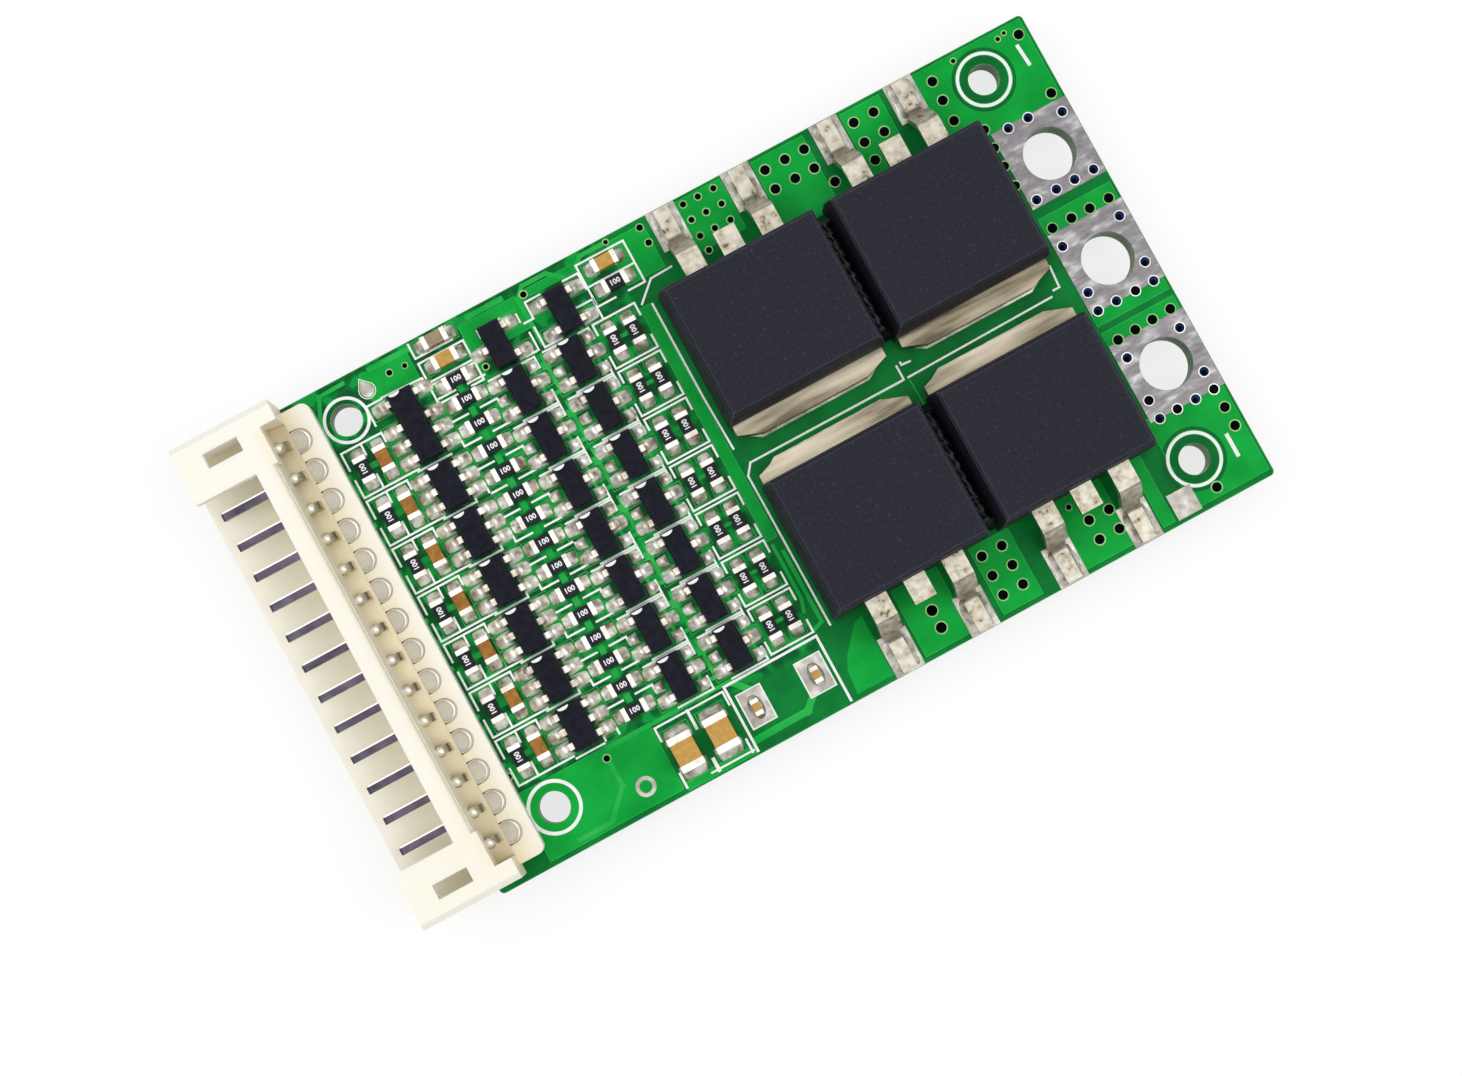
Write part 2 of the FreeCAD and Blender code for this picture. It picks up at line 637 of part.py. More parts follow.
def chip(name, across, along, kind, height, upright, steps, core_name="body"):
    """Two-ended chip part: a ceramic core between two plated ends."""
    length, width, end = "Sizes.%s_length" % kind, "Sizes.%s_width" % kind, "Sizes.%s_end" % kind
    core_long = "(%s - 2 * %s)" % (length, end)
    core_wide = "(%s - 2 * Sizes.chip_plating)" % width
    core = new_body("%s_%s" % (name, core_name))
    core_sketch = sketch_on(core, name + "_core_sketch", "XY_Plane", "Sizes.board_thickness")
    ends = new_body(name + "_ends")
    end_sketch = sketch_on(ends, name + "_end_sketch", "XY_Plane", "Sizes.board_thickness")
    if upright:
        rectangle(core_sketch, across, along, core_wide, core_long)
    else:
        rectangle(core_sketch, across, along, core_long, core_wide)
    for sign in ("+", "-"):
        moved = " %s (%s - %s) / 2" % (sign, length, end)
        if upright:
            rectangle(end_sketch, across, along + moved, width, end)
        else:
            rectangle(end_sketch, across + moved, along, end, width)
    core_pad = pad(core, name + "_core", core_sketch, "%s - Sizes.chip_plating" % height)
    end_pad = pad(ends, name + "_end", end_sketch, height)
    if steps:
        repeat(core, name + "_core_places", [core_pad], steps)
        repeat(ends, name + "_end_places", [end_pad], steps)


UP_THE_ROWS = ("Y_Axis", "Layout.row_pitch", "Sizes.row_count")

# Two columns of chips beside the header
chip(
    "filter_resistor",
    "Layout.filter_x",
    "Layout.last_row_y",
    "chip",
    "Sizes.resistor_height",
    True,
    [UP_THE_ROWS],
    core_name="bodies",
)
chip(
    "filter_capacitor",
    "Layout.filter_capacitor_x",
    "Layout.last_row_y",
    "chip",
    "Sizes.capacitor_height",
    True,
    [UP_THE_ROWS],
    core_name="bodies",
)

# Series resistors, two to each row, and three parts above them
chip(
    "series_resistor",
    "Layout.series_x",
    "Layout.last_series_y",
    "chip",
    "Sizes.resistor_height",
    False,
    [("Y_Axis", "Layout.series_pitch", "Layout.series_count")],
    core_name="bodies",
)
chip(
    "upper_resistor",
    "Layout.series_x",
    "Layout.upper_series_y",
    "chip",
    "Sizes.resistor_height",
    False,
    [],
)
chip(
    "supply_capacitor",
    "Layout.series_x",
    "Layout.supply_y",
    "chip",
    "Sizes.capacitor_height",
    False,
    [("Y_Axis", "Sizes.upper_part_pitch", "2")],
    core_name="bodies",
)

# Pairs of bleed resistors
derive("bleed_pitch", "Layout.right_bleed_x - Layout.left_bleed_x")
doc.recompute()
chip(
    "bleed_resistor",
    "Layout.left_bleed_x",
    "Layout.last_switch_y",
    "chip",
    "Sizes.resistor_height",
    True,
    [("X_Axis", "Layout.bleed_pitch", "2"), UP_THE_ROWS],
    core_name="bodies",
)

# Single parts near the long edges
chip(
    "output_capacitor",
    "Layout.output_x",
    "Layout.output_capacitor_y",
    "chip",
    "Sizes.capacitor_height",
    False,
    [],
)
chip(
    "output_resistor",
    "Layout.output_x",
    "Layout.output_capacitor_y - Sizes.upper_part_pitch",
    "chip",
    "Sizes.resistor_height",
    False,
    [],
)
chip(
    "storage_capacitor",
    "Layout.storage_x",
    "Layout.storage_y",
    "storage",
    "Sizes.storage_height",
    True,
    [("X_Axis", "Sizes.storage_pitch", "2")],
    core_name="bodies",
)
chip(
    "sense_capacitor",
    "Layout.sense_x",
    "Layout.sense_y",
    "sense",
    "Sizes.sense_height",
    True,
    [("X_Axis", "Sizes.sense_pitch", "2")],
    core_name="bodies",
)


# Small moulded packages: the mould's parting band is where the leads come out
derive("lead_low_z", "Sizes.board_thickness + Sizes.package_lead_level - Sizes.package_lead_thickness / 2")
derive("lead_high_z", "Layout.lead_low_z + Sizes.package_lead_thickness")
derive("package_top_z", "Sizes.board_thickness + Sizes.package_height")
derive("package_bottom_z", "Sizes.board_thickness + Sizes.package_standoff")
doc.recompute()


def package(name, across, along, width, length, row_count=None):
    """Moulded package, narrowing above and below its parting band, in each row of a column."""
    body = new_body(name)
    low_sketch = sketch_on(body, name + "_low_sketch", "XY_Plane", "Layout.lead_low_z")
    rectangle(low_sketch, across, along, width, length)
    pad(body, name + "_band", low_sketch, "Sizes.package_lead_thickness")
    under_sketch = sketch_on(body, name + "_under_sketch", "XY_Plane", "Layout.lead_low_z")
    rectangle(under_sketch, across, along, width, length)
    under = pad(
        body,
        name + "_under",
        under_sketch,
        "Layout.lead_low_z - Layout.package_bottom_z",
        draft="Sizes.package_draft",
    )
    under.Reversed = True
    top_sketch = sketch_on(body, name + "_top_sketch", "XY_Plane", "Layout.lead_high_z")
    rectangle(top_sketch, across, along, width, length)
    top = pad(
        body,
        name + "_top",
        top_sketch,
        "Layout.package_top_z - Layout.lead_high_z",
        draft="Sizes.package_draft",
    )
    rim = edges_of(top, lambda edge: lies_at(edge, 2, value("Layout.package_top_z")))
    dress(body, name + "_edge", "PartDesign::Chamfer", top, rim, "Size", "Sizes.package_edge_chamfer")
    if row_count:
        repeat_whole(body, name + "_places", "Y_Axis", "Layout.row_pitch", row_count)


def package_leads(body, name, centre, along, width, span, sides, steps):
    """Formed leads at one place along a package, on the sides given as signs."""
    sketch = sketch_on(body, name + "_sketch", "XZ_Plane", "-(%s)" % along)
    knee = "%s / 2 + Sizes.package_lead_knee" % width
    ankle = knee + " + Sizes.package_lead_slope"
    thick = "Sizes.package_lead_thickness"
    board_z = "Sizes.board_thickness"
    for sign in sides:
        start = "%s %s " % (centre, sign)
        profile(
            sketch,
            [
                (start + "(%s / 2)" % width, "Layout.lead_low_z"),
                (start + "(%s)" % knee, "Layout.lead_low_z"),
                (start + "(%s)" % ankle, board_z),
                (start + "(%s / 2)" % span, board_z),
                (start + "(%s / 2)" % span, "%s + %s" % (board_z, thick)),
                (start + "(%s + %s)" % (ankle, thick), "%s + %s" % (board_z, thick)),
                (start + "(%s + %s)" % (knee, thick), "Layout.lead_high_z"),
                (start + "(%s / 2)" % width, "Layout.lead_high_z"),
            ],
        )
    lead = pad(body, name, sketch, "Sizes.package_lead_width", symmetric=True)
    if steps:
        repeat(body, name + "_places", [lead], steps)


# Cell monitors, one to each row below the top one
MONITOR_ROWS = ("Y_Axis", "Layout.row_pitch", "Sizes.row_count - 1")
package(
    "monitor_bodies",
    "Layout.monitor_x",
    "Layout.last_row_y",
    "Sizes.monitor_width",
    "Sizes.monitor_length",
    "Sizes.row_count - 1",
)
monitor_leads = new_body("monitor_leads")
package_leads(
    monitor_leads,
    "monitor_lead",
    "Layout.monitor_x",
    "Layout.last_row_y - Sizes.monitor_lead_pitch",
    "Sizes.monitor_width",
    "Sizes.monitor_span",
    ("+", "-"),
    [("Y_Axis", "Sizes.monitor_lead_pitch", "3"), MONITOR_ROWS],
)

# Controller, the longer package in the top row
package(
    "controller_body",
    "Layout.monitor_x",
    "Layout.controller_y",
    "Sizes.monitor_width",
    "Sizes.controller_length",
)
controller_leads = new_body("controller_leads")
package_leads(
    controller_leads,
    "controller_lead",
    "Layout.monitor_x",
    "Layout.controller_low_y + Sizes.controller_lead_inset",
    "Sizes.monitor_width",
    "Sizes.monitor_span",
    ("+", "-"),
    [("Y_Axis", "Sizes.controller_lead_pitch", "3")],
)
package_leads(
    controller_leads,
    "controller_far_lead",
    "Layout.monitor_x",
    "Layout.controller_low_y + Sizes.controller_lead_inset + 2 * Sizes.controller_lead_pitch"
    " + Sizes.controller_lead_step",
    "Sizes.monitor_width",
    "Sizes.monitor_span",
    ("+", "-"),
    [],
)


def switch_leads(name, centre, along, paired_side, single_side, steps):
    """Leads of a small transistor: a pair on one side, a single one on the other."""
    body = new_body(name + "_leads")
    pair = [("Y_Axis", "Sizes.switch_lead_pitch", "2")]
    low = "%s - Sizes.switch_lead_pitch / 2" % along
    width, span = "Sizes.switch_width", "Sizes.switch_span"
    package_leads(body, name + "_pair", centre, low, width, span, paired_side, pair + steps)
    if single_side:
        package_leads(body, name + "_single", centre, along, width, span, single_side, steps)


# Two columns of balancing transistors and two more above them
for name, place in (("left_transistor", "Layout.left_switch_x"), ("right_transistor", "Layout.right_switch_x")):
    package(
        name + "_bodies",
        place,
        "Layout.last_switch_y",
        "Sizes.switch_width",
        "Sizes.switch_length",
        "Sizes.row_count",
    )
    switch_leads(name, place, "Layout.last_switch_y", "-", "+", [UP_THE_ROWS])

package(
    "upper_left_transistor_body",
    "Layout.left_switch_x",
    "Layout.upper_switch_y",
    "Sizes.switch_width",
    "Sizes.switch_length",
)
switch_leads("upper_left_transistor", "Layout.left_switch_x", "Layout.upper_switch_y", "+", "-", [])
derive("upper_right_x", "Layout.right_switch_x + Sizes.upper_switch_shift")
doc.recompute()
package(
    "upper_right_transistor_body",
    "Layout.upper_right_x",
    "Layout.upper_switch_y",
    "Sizes.switch_width",
    "Sizes.switch_length",
)
switch_leads("upper_right_transistor", "Layout.upper_right_x", "Layout.upper_switch_y", ("+", "-"), "", [])


# Power transistors, each drawn about its own middle with its leads to +Y
derive("lead_low", "Sizes.board_thickness + Sizes.lead_level")
derive("lead_high", "Layout.lead_low + Sizes.lead_thickness")
derive("half_mosfet", "Sizes.mosfet_length / 2")
derive("tab_width", "Sizes.mosfet_width - 2 * Sizes.tab_side_margin")
derive("slug_width", "Sizes.mosfet_width - 2 * Sizes.slug_side_margin")
derive("lead_root_y", "Layout.half_mosfet - Sizes.lead_root")
derive("lead_shoulder_y", "Layout.half_mosfet + Sizes.lead_shoulder")
derive("lead_heel_y", "Layout.lead_shoulder_y + Sizes.lead_drop")
derive("lead_tip_y", "Layout.half_mosfet + Layout.lead_reach")
derive("wide_end_y", "Layout.half_mosfet + Sizes.lead_wide_reach")
derive("tab_end_y", "-(Layout.half_mosfet + Sizes.tab_reach)")
derive("slug_end_y", "Sizes.slug_depth - Layout.half_mosfet")
doc.recompute()


def place_turned(body, across, along, turned):
    """Set a body down at a place, turned half round where asked."""
    if turned:
        body.Placement = FreeCAD.Placement(Vector(0, 0, 0), FreeCAD.Rotation(Vector(0, 0, 1), 180))
    body.setExpression("Placement.Base.x", across)
    body.setExpression("Placement.Base.y", along)


def mosfet(name, across, along, turned):
    """Power transistor in three pieces: moulding, mounting tab and leads."""
    body = new_body(name + "_body")
    base = sketch_on(body, name + "_base", "XY_Plane", "Sizes.board_thickness")
    rectangle(base, "0", "0", "Sizes.mosfet_width", "Sizes.mosfet_length")
    pad(body, name + "_block", base, "Sizes.lead_level")
    crown_sketch = sketch_on(body, name + "_crown_sketch", "XY_Plane", "Layout.lead_low")
    rectangle(crown_sketch, "0", "0", "Sizes.mosfet_width", "Sizes.mosfet_length")
    crown_height = "Sizes.mosfet_height - Sizes.lead_level"
    crown = pad(body, name + "_crown", crown_sketch, crown_height, draft="Sizes.mosfet_draft")
    top_z = value("Sizes.board_thickness + Sizes.mosfet_height")
    top_edges = edges_of(crown, lambda edge: lies_at(edge, 2, top_z))
    dress(body, name + "_edge", "PartDesign::Chamfer", crown, top_edges, "Size", "Sizes.mosfet_edge_chamfer")
    slug_sketch = sketch_on(body, name + "_slug_sketch", "XY_Plane", "Sizes.board_thickness")
    slug_middle = "(Layout.slug_end_y - Layout.half_mosfet) / 2"
    rectangle(slug_sketch, "0", slug_middle, "Layout.slug_width", "Sizes.slug_depth")
    pocket(body, name + "_slug_seat", slug_sketch, "Sizes.tab_thickness", inverted=True)
    root_sketch = sketch_on(body, name + "_root_sketch", "XZ_Plane", "-Layout.half_mosfet")
    for shift in ("-Sizes.lead_pitch", "0", "Sizes.lead_pitch"):
        rectangle(
            root_sketch,
            shift,
            "(Layout.lead_low + Layout.lead_high) / 2",
            "Sizes.lead_wide",
            "Sizes.lead_thickness",
        )
    pocket(body, name + "_root_seats", root_sketch, "Sizes.lead_root", inverted=True)
    place_turned(body, across, along, turned)

    tab = new_body(name + "_tab")
    tab_sketch = sketch_on(tab, name + "_tab_sketch", "XY_Plane", "Sizes.board_thickness")
    half_tab, half_slug = "Layout.tab_width / 2", "Layout.slug_width / 2"
    clipped = "(Layout.tab_width / 2 - Sizes.tab_corner_across)"
    profile(
        tab_sketch,
        [
            ("-" + clipped, "Layout.tab_end_y"),
            (clipped, "Layout.tab_end_y"),
            (half_tab, "Layout.tab_end_y + Sizes.tab_corner_along"),
            (half_tab, "-Layout.half_mosfet"),
            (half_slug, "-Layout.half_mosfet"),
            (half_slug, "Layout.slug_end_y"),
            ("-" + half_slug, "Layout.slug_end_y"),
            ("-" + half_slug, "-Layout.half_mosfet"),
            ("-" + half_tab, "-Layout.half_mosfet"),
            ("-" + half_tab, "Layout.tab_end_y + Sizes.tab_corner_along"),
        ],
    )
    pad(tab, name + "_tab_plate", tab_sketch, "Sizes.tab_thickness")
    place_turned(tab, across, along, turned)

    leads = new_body(name + "_leads")
    lead_sketch = sketch_on(leads, name + "_lead_sketch", "YZ_Plane", "-Sizes.lead_pitch")
    board_z = "Sizes.board_thickness"
    profile(
        lead_sketch,
        [
            ("Layout.lead_root_y", "Layout.lead_low"),
            ("Layout.lead_shoulder_y", "Layout.lead_low"),
            ("Layout.lead_heel_y", board_z),
            ("Layout.lead_tip_y", board_z),
            ("Layout.lead_tip_y", board_z + " + Sizes.lead_thickness"),
            ("Layout.lead_heel_y + Sizes.lead_bend_radius", board_z + " + Sizes.lead_thickness"),
            ("Layout.lead_shoulder_y + Sizes.lead_bend_radius", "Layout.lead_high"),
            ("Layout.lead_root_y", "Layout.lead_high"),
        ],
    )
    strip = pad(leads, name + "_lead_strip", lead_sketch, "Sizes.lead_wide", symmetric=True)
    bend_edges = edges_of(
        strip,
        lambda edge: runs_along(edge, 0)
        and value("Layout.lead_shoulder_y") - 1e-4
        < edge.Vertexes[0].Point.y
        < value("Layout.lead_tip_y - Sizes.lead_bend_radius"),
    )
    dress(
        leads,
        name + "_lead_bends",
        "PartDesign::Fillet",
        strip,
        bend_edges,
        "Radius",
        "Sizes.lead_bend_radius",
    )
    trim_sketch = sketch_on(leads, name + "_trim_sketch", "XY_Plane", "Layout.lead_high")
    trim_width = "(Sizes.lead_wide - Sizes.lead_foot_width) / 2"
    for sign in ("+", "-"):
        rectangle(
            trim_sketch,
            "-Sizes.lead_pitch %s (Sizes.lead_wide - %s) / 2" % (sign, trim_width),
            "(Layout.wide_end_y + Layout.lead_tip_y) / 2",
            trim_width,
            "Layout.lead_tip_y - Layout.wide_end_y",
        )
    pocket(leads, name + "_trim", trim_sketch)
    doc.recompute()
    far_lead = leads.newObject("PartDesign::Mirrored", name + "_far_lead")
    far_lead.TransformMode = "Whole shape"
    far_lead.MirrorPlane = (origin_feature(leads, "YZ_Plane"), [""])
    leads.Tip = far_lead
    stub_sketch = sketch_on(leads, name + "_stub_sketch", "XY_Plane", "Layout.lead_low")
    rectangle(
        stub_sketch,
        "0",
        "Layout.lead_root_y + (Sizes.lead_root + Sizes.stub_length) / 2",
        "Sizes.lead_wide",
        "Sizes.lead_root + Sizes.stub_length",
    )
    pad(leads, name + "_stub", stub_sketch, "Sizes.lead_thickness")
    place_turned(leads, across, along, turned)


for name, across, along, turned in (
    ("upper_left_mosfet", "Layout.left_mosfet_x", "Layout.upper_mosfet_y", False),
    ("upper_right_mosfet", "Layout.right_mosfet_x", "Layout.upper_mosfet_y", False),
    ("lower_left_mosfet", "Layout.left_mosfet_x", "Layout.lower_mosfet_y", True),
    ("lower_right_mosfet", "Layout.right_mosfet_x", "Layout.lower_mosfet_y", True),
):
    mosfet(name, across, along, turned)

# Check everything, then write one file for each sub-part
doc.recompute()
for feature in doc.Objects:
    if "Invalid" in feature.State or "Error" in feature.State:
        raise RuntimeError("%s did not build: %s" % (feature.Label, feature.State))
for body in doc.findObjects("PartDesign::Body"):
    shape = body.Shape
    if shape.isNull() or not shape.isValid() or not shape.Solids:
        raise RuntimeError("%s has no sound shape" % body.Label)
    shape.exportStep("parts/%s.step" % body.Label)
    print("%s: %d solids, volume %.3f" % (body.Label, len(shape.Solids), shape.Volume))
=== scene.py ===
import math
import random

import bpy
from mathutils import Matrix, Vector
from mathutils.geometry import tessellate_polygon


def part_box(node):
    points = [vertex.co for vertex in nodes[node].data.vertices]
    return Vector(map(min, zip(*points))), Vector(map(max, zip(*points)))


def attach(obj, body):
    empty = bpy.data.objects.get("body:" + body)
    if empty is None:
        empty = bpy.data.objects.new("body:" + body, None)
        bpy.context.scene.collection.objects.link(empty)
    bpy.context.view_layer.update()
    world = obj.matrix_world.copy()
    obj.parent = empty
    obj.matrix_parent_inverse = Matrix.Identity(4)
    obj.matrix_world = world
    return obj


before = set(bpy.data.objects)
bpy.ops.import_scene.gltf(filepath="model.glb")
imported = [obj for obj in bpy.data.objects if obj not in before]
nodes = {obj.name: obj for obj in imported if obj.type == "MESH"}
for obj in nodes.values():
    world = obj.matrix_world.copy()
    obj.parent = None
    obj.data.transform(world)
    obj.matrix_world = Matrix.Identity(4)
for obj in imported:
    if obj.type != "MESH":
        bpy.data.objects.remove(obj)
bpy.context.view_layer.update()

MM = 0.001
BOARD_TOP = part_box("board")[1].z / MM
FLOOR_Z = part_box("header_pins")[0].z / MM
# Print and copper are drawn from the middle of the board's artwork, shapes set by a CAD node in the frame
ARTWORK = Vector((-0.2, -0.3))
FRAME = Vector((0.0, 0.0))
ROW_PITCH = 3.22
ROWS = [0.55 + ROW_PITCH * k for k in (3, 2, 1, 0, -1, -2, -3)]
SERIES_ROWS = [-9.9 + ROW_PITCH / 2 * k for k in range(14)]
POST_PITCH = 2.0
WALL_REAR = -25.9
TROUGH_FLOOR = 3.2
rng = random.Random(7)


# Materials
def noise(tree, scale, detail=3.0, stretch=None):
    """Noise over the object's own coordinates."""
    place = tree.nodes.new("ShaderNodeTexCoord").outputs["Object"]
    if stretch:
        mapping = tree.nodes.new("ShaderNodeMapping")
        mapping.inputs["Scale"].default_value = stretch
        tree.links.new(place, mapping.inputs["Vector"])
        place = mapping.outputs["Vector"]
    node = tree.nodes.new("ShaderNodeTexNoise")
    node.inputs["Scale"].default_value = scale
    node.inputs["Detail"].default_value = detail
    tree.links.new(place, node.inputs["Vector"])
    return node.outputs["Fac"]


def ramp(tree, source, stops):
    """Colour ramp with (place, colour) stops."""
    node = tree.nodes.new("ShaderNodeValToRGB")
    elements = node.color_ramp.elements
    while len(elements) < len(stops):
        elements.new(0.5)
    for element, (place, colour) in zip(elements, stops):
        element.position = place
        element.color = (*colour, 1.0)
    tree.links.new(source, node.inputs["Fac"])
    return node.outputs["Color"]


def spread(tree, source, low, high, start=0.3, end=0.7):
    """Map what lies between start and end onto a range."""
    node = tree.nodes.new("ShaderNodeMapRange")
    node.inputs["From Min"].default_value = start
    node.inputs["From Max"].default_value = end
    node.inputs["To Min"].default_value = low
    node.inputs["To Max"].default_value = high
    tree.links.new(source, node.inputs["Value"])
    return node.outputs["Result"]


def calculate(tree, operation, *terms):
    """Math node over sockets and plain numbers."""
    node = tree.nodes.new("ShaderNodeMath")
    node.operation = operation
    for socket, term in zip(node.inputs, terms):
        if isinstance(term, float):
            socket.default_value = term
        else:
            tree.links.new(term, socket)
    return node.outputs[0]


def product(tree, first, *others):
    """Factors multiplied together."""
    for other in others:
        first = calculate(tree, "MULTIPLY", first, other)
    return first


def axis_of(tree, axis):
    """The object's own X, Y or Z."""
    parts = tree.nodes.new("ShaderNodeSeparateXYZ")
    tree.links.new(tree.nodes.new("ShaderNodeTexCoord").outputs["Object"], parts.inputs["Vector"])
    return parts.outputs[axis]


def fade(tree, axis, start, end, low=0.0, high=1.0):
    """From low to high between two places along an axis, in millimetres."""
    return spread(tree, axis_of(tree, axis), low, high, start * MM, end * MM)


def blend_colour(tree, factor, first, second):
    """Mix two colours, each a socket or a plain colour."""
    node = tree.nodes.new("ShaderNodeMix")
    node.data_type = "RGBA"
    for socket, colour in ((node.inputs[6], first), (node.inputs[7], second)):
        if isinstance(colour, tuple):
            socket.default_value = (*colour, 1.0)
        else:
            tree.links.new(colour, socket)
    tree.links.new(factor, node.inputs["Factor"])
    return node.outputs[2]


def tint(mat, factor, colour):
    """Lay a colour over the material's own as far as the factor says."""
    tree = mat.node_tree
    base = tree.nodes["Principled BSDF"].inputs["Base Color"]
    tree.links.new(blend_colour(tree, factor, base.links[0].from_socket, colour), base)


def surface(name, stops, scale, rough, grain, bump=0.15, metallic=0.0, specular=0.5, stretch=None):
    """Principled material: mottled colour, uneven gloss and a fine relief; scale and grain are of their noise."""
    mat = bpy.data.materials.new(name)
    mat.use_nodes = True
    tree = mat.node_tree
    shader = tree.nodes["Principled BSDF"]
    shader.inputs["Metallic"].default_value = metallic
    shader.inputs["Specular IOR Level"].default_value = specular
    tree.links.new(ramp(tree, noise(tree, scale, 4.0, stretch), stops), shader.inputs["Base Color"])
    tree.links.new(spread(tree, noise(tree, scale * 1.7, 3.0, stretch), *rough), shader.inputs["Roughness"])
    relief = tree.nodes.new("ShaderNodeBump")
    relief.inputs["Strength"].default_value = bump
    relief.inputs["Distance"].default_value = 0.05 * MM
    tree.links.new(noise(tree, grain, 2.0, stretch), relief.inputs["Height"])
    tree.links.new(relief.outputs["Normal"], shader.inputs["Normal"])
    return mat


def edge_wear_and_highlight(mat, reach, colour):
    """Rub the base colour lighter along the edges of the shape: wear, and a painted highlight where the edges catch
    light.
    """
    tree = mat.node_tree
    rounded = tree.nodes.new("ShaderNodeBevel")
    rounded.samples = 4
    rounded.inputs["Radius"].default_value = reach * MM
    alike = tree.nodes.new("ShaderNodeVectorMath")
    alike.operation = "DOT_PRODUCT"
    tree.links.new(rounded.outputs["Normal"], alike.inputs[0])
    tree.links.new(tree.nodes.new("ShaderNodeNewGeometry").outputs["Normal"], alike.inputs[1])
    tint(mat, spread(tree, alike.outputs["Value"], 1.0, 0.0, 0.82, 0.97), colour)


def mask_material(name, dark, light):
    """Solder mask, slightly uneven in depth of colour."""
    return surface(name, [(0.35, dark), (0.65, light)], 420, (0.3, 0.45), 2600, bump=0.06, specular=0.06)


GREEN_BARE = mask_material("mask_bare", (0.001, 0.12, 0.02), (0.002, 0.17, 0.03))
GREEN_COPPER = mask_material("mask_on_copper", (0.001, 0.3, 0.035), (0.004, 0.4, 0.05))
GREEN_TRACK = mask_material("mask_on_track", (0.004, 0.36, 0.05), (0.03, 0.46, 0.08))
GREEN_EDGE_HIGHLIGHT = mask_material("mask_edge", (0.006, 0.36, 0.05), (0.08, 0.52, 0.12))
SILK = surface(
    "silk_print", [(0.3, (0.8, 0.84, 0.8)), (0.6, (0.92, 0.94, 0.92))],
    2200, (0.6, 0.8), 5000, bump=0.2, specular=0.2,
)
TIN = surface(
    "tinned_pad", [(0.3, (0.24, 0.22, 0.19)), (0.5, (0.38, 0.36, 0.32)), (0.7, (0.62, 0.6, 0.55))],
    1100, (0.25, 0.45), 2200, bump=0.3, metallic=1.0,
)
OVAL_SHADE = surface(
    "oval_fillet_shade", [(0.3, (0.1, 0.09, 0.085)), (0.7, (0.3, 0.28, 0.26))],
    1500, (0.3, 0.45), 2200, bump=0.2, metallic=0.8,
)
RING_TIN = surface(
    "ring_tinning", [(0.3, (0.5, 0.52, 0.46)), (0.7, (0.8, 0.82, 0.76))],
    900, (0.3, 0.45), 2200, bump=0.1, metallic=1.0,
)
RING_MASK = surface(
    "ring_under_mask", [(0.3, (0.13, 0.4, 0.1)), (0.7, (0.35, 0.62, 0.24))],
    900, (0.3, 0.45), 2200, bump=0.1, metallic=0.3, specular=0.2,
)
SOLDER = surface(
    "solder", [(0.32, (0.26, 0.215, 0.15)), (0.45, (0.58, 0.53, 0.43)), (0.6, (0.95, 0.92, 0.86))],
    1500, (0.28, 0.45), 1900, bump=0.25, metallic=0.6,
)
LEAD_SOLDER = surface(
    "lead_solder", [(0.32, (0.34, 0.29, 0.21)), (0.43, (0.7, 0.65, 0.55)), (0.56, (0.98, 0.96, 0.91))],
    1500, (0.28, 0.45), 1900, bump=0.25, metallic=0.55,
)
TERMINAL_TIN = surface(
    "terminal_tinning", [(0.3, (0.17, 0.16, 0.168)), (0.52, (0.235, 0.222, 0.232)), (0.72, (0.46, 0.44, 0.44))],
    900, (0.3, 0.5), 2600, bump=0.22, metallic=1.0, stretch=(1.0, 2.4, 1.0),
)
DISH_TIN = surface(
    "post_land_tinning", [(0.3, (0.52, 0.485, 0.405)), (0.7, (0.61, 0.57, 0.48))],
    700, (0.2, 0.32), 1500, bump=0.08,
)
CHIP_END = surface(
    "chip_plating", [(0.3, (0.66, 0.62, 0.53)), (0.55, (0.9, 0.88, 0.82))],
    1400, (0.28, 0.45), 2600, bump=0.2, metallic=0.6,
)
SMALL_LEAD = surface(
    "small_lead_plating", [(0.3, (0.5, 0.44, 0.34)), (0.42, (0.72, 0.67, 0.56)), (0.6, (0.92, 0.89, 0.82))],
    2100, (0.32, 0.5), 2600, metallic=0.8,
)
LEAD = surface(
    "lead_plating",
    [(0.3, (0.15, 0.1, 0.06)), (0.36, (0.36, 0.32, 0.24)), (0.5, (0.49, 0.455, 0.37)), (0.68, (0.6, 0.57, 0.49))],
    2100, (0.32, 0.5), 2600, metallic=1.0,
)
TAB = surface(
    "tab_plating", [(0.34, (0.13, 0.105, 0.07)), (0.46, (0.36, 0.31, 0.22)), (0.64, (0.58, 0.52, 0.4))],
    500, (0.35, 0.55), 1600, bump=0.25, metallic=1.0, stretch=(0.25, 2.0, 1.0),
)
POWER_EPOXY = surface(
    "power_epoxy", [(0.3, (0.013, 0.013, 0.022)), (0.64, (0.019, 0.019, 0.03)), (0.76, (0.05, 0.048, 0.05))],
    5200, (0.5, 0.7), 5200, bump=0.35, specular=0.16,
)
# Lighter edges: wear and painted highlight
edge_wear_and_highlight(POWER_EPOXY, 0.22, (0.085, 0.085, 0.11))
PACKAGE_EPOXY = surface(
    "package_epoxy", [(0.3, (0.005, 0.005, 0.011)), (0.7, (0.012, 0.012, 0.021))],
    2500, (0.35, 0.55), 4200, bump=0.25, specular=0.08,
)
# Lighter edges: wear and painted highlight
edge_wear_and_highlight(PACKAGE_EPOXY, 0.06, (0.09, 0.09, 0.115))
# Near-black fill for the gaps between the power transistors: painted shade
GAP_SHADE = surface(
    "gap_shade_ridge", [(0.3, (0.002, 0.002, 0.004)), (0.7, (0.006, 0.006, 0.011))],
    1800, (0.12, 0.4), 3400, bump=1.0, specular=0.35,
)
RESISTOR = surface(
    "resistor_glaze", [(0.3, (0.010, 0.010, 0.017)), (0.7, (0.022, 0.022, 0.03))],
    2000, (0.3, 0.5), 4000, bump=0.2, specular=0.1,
)
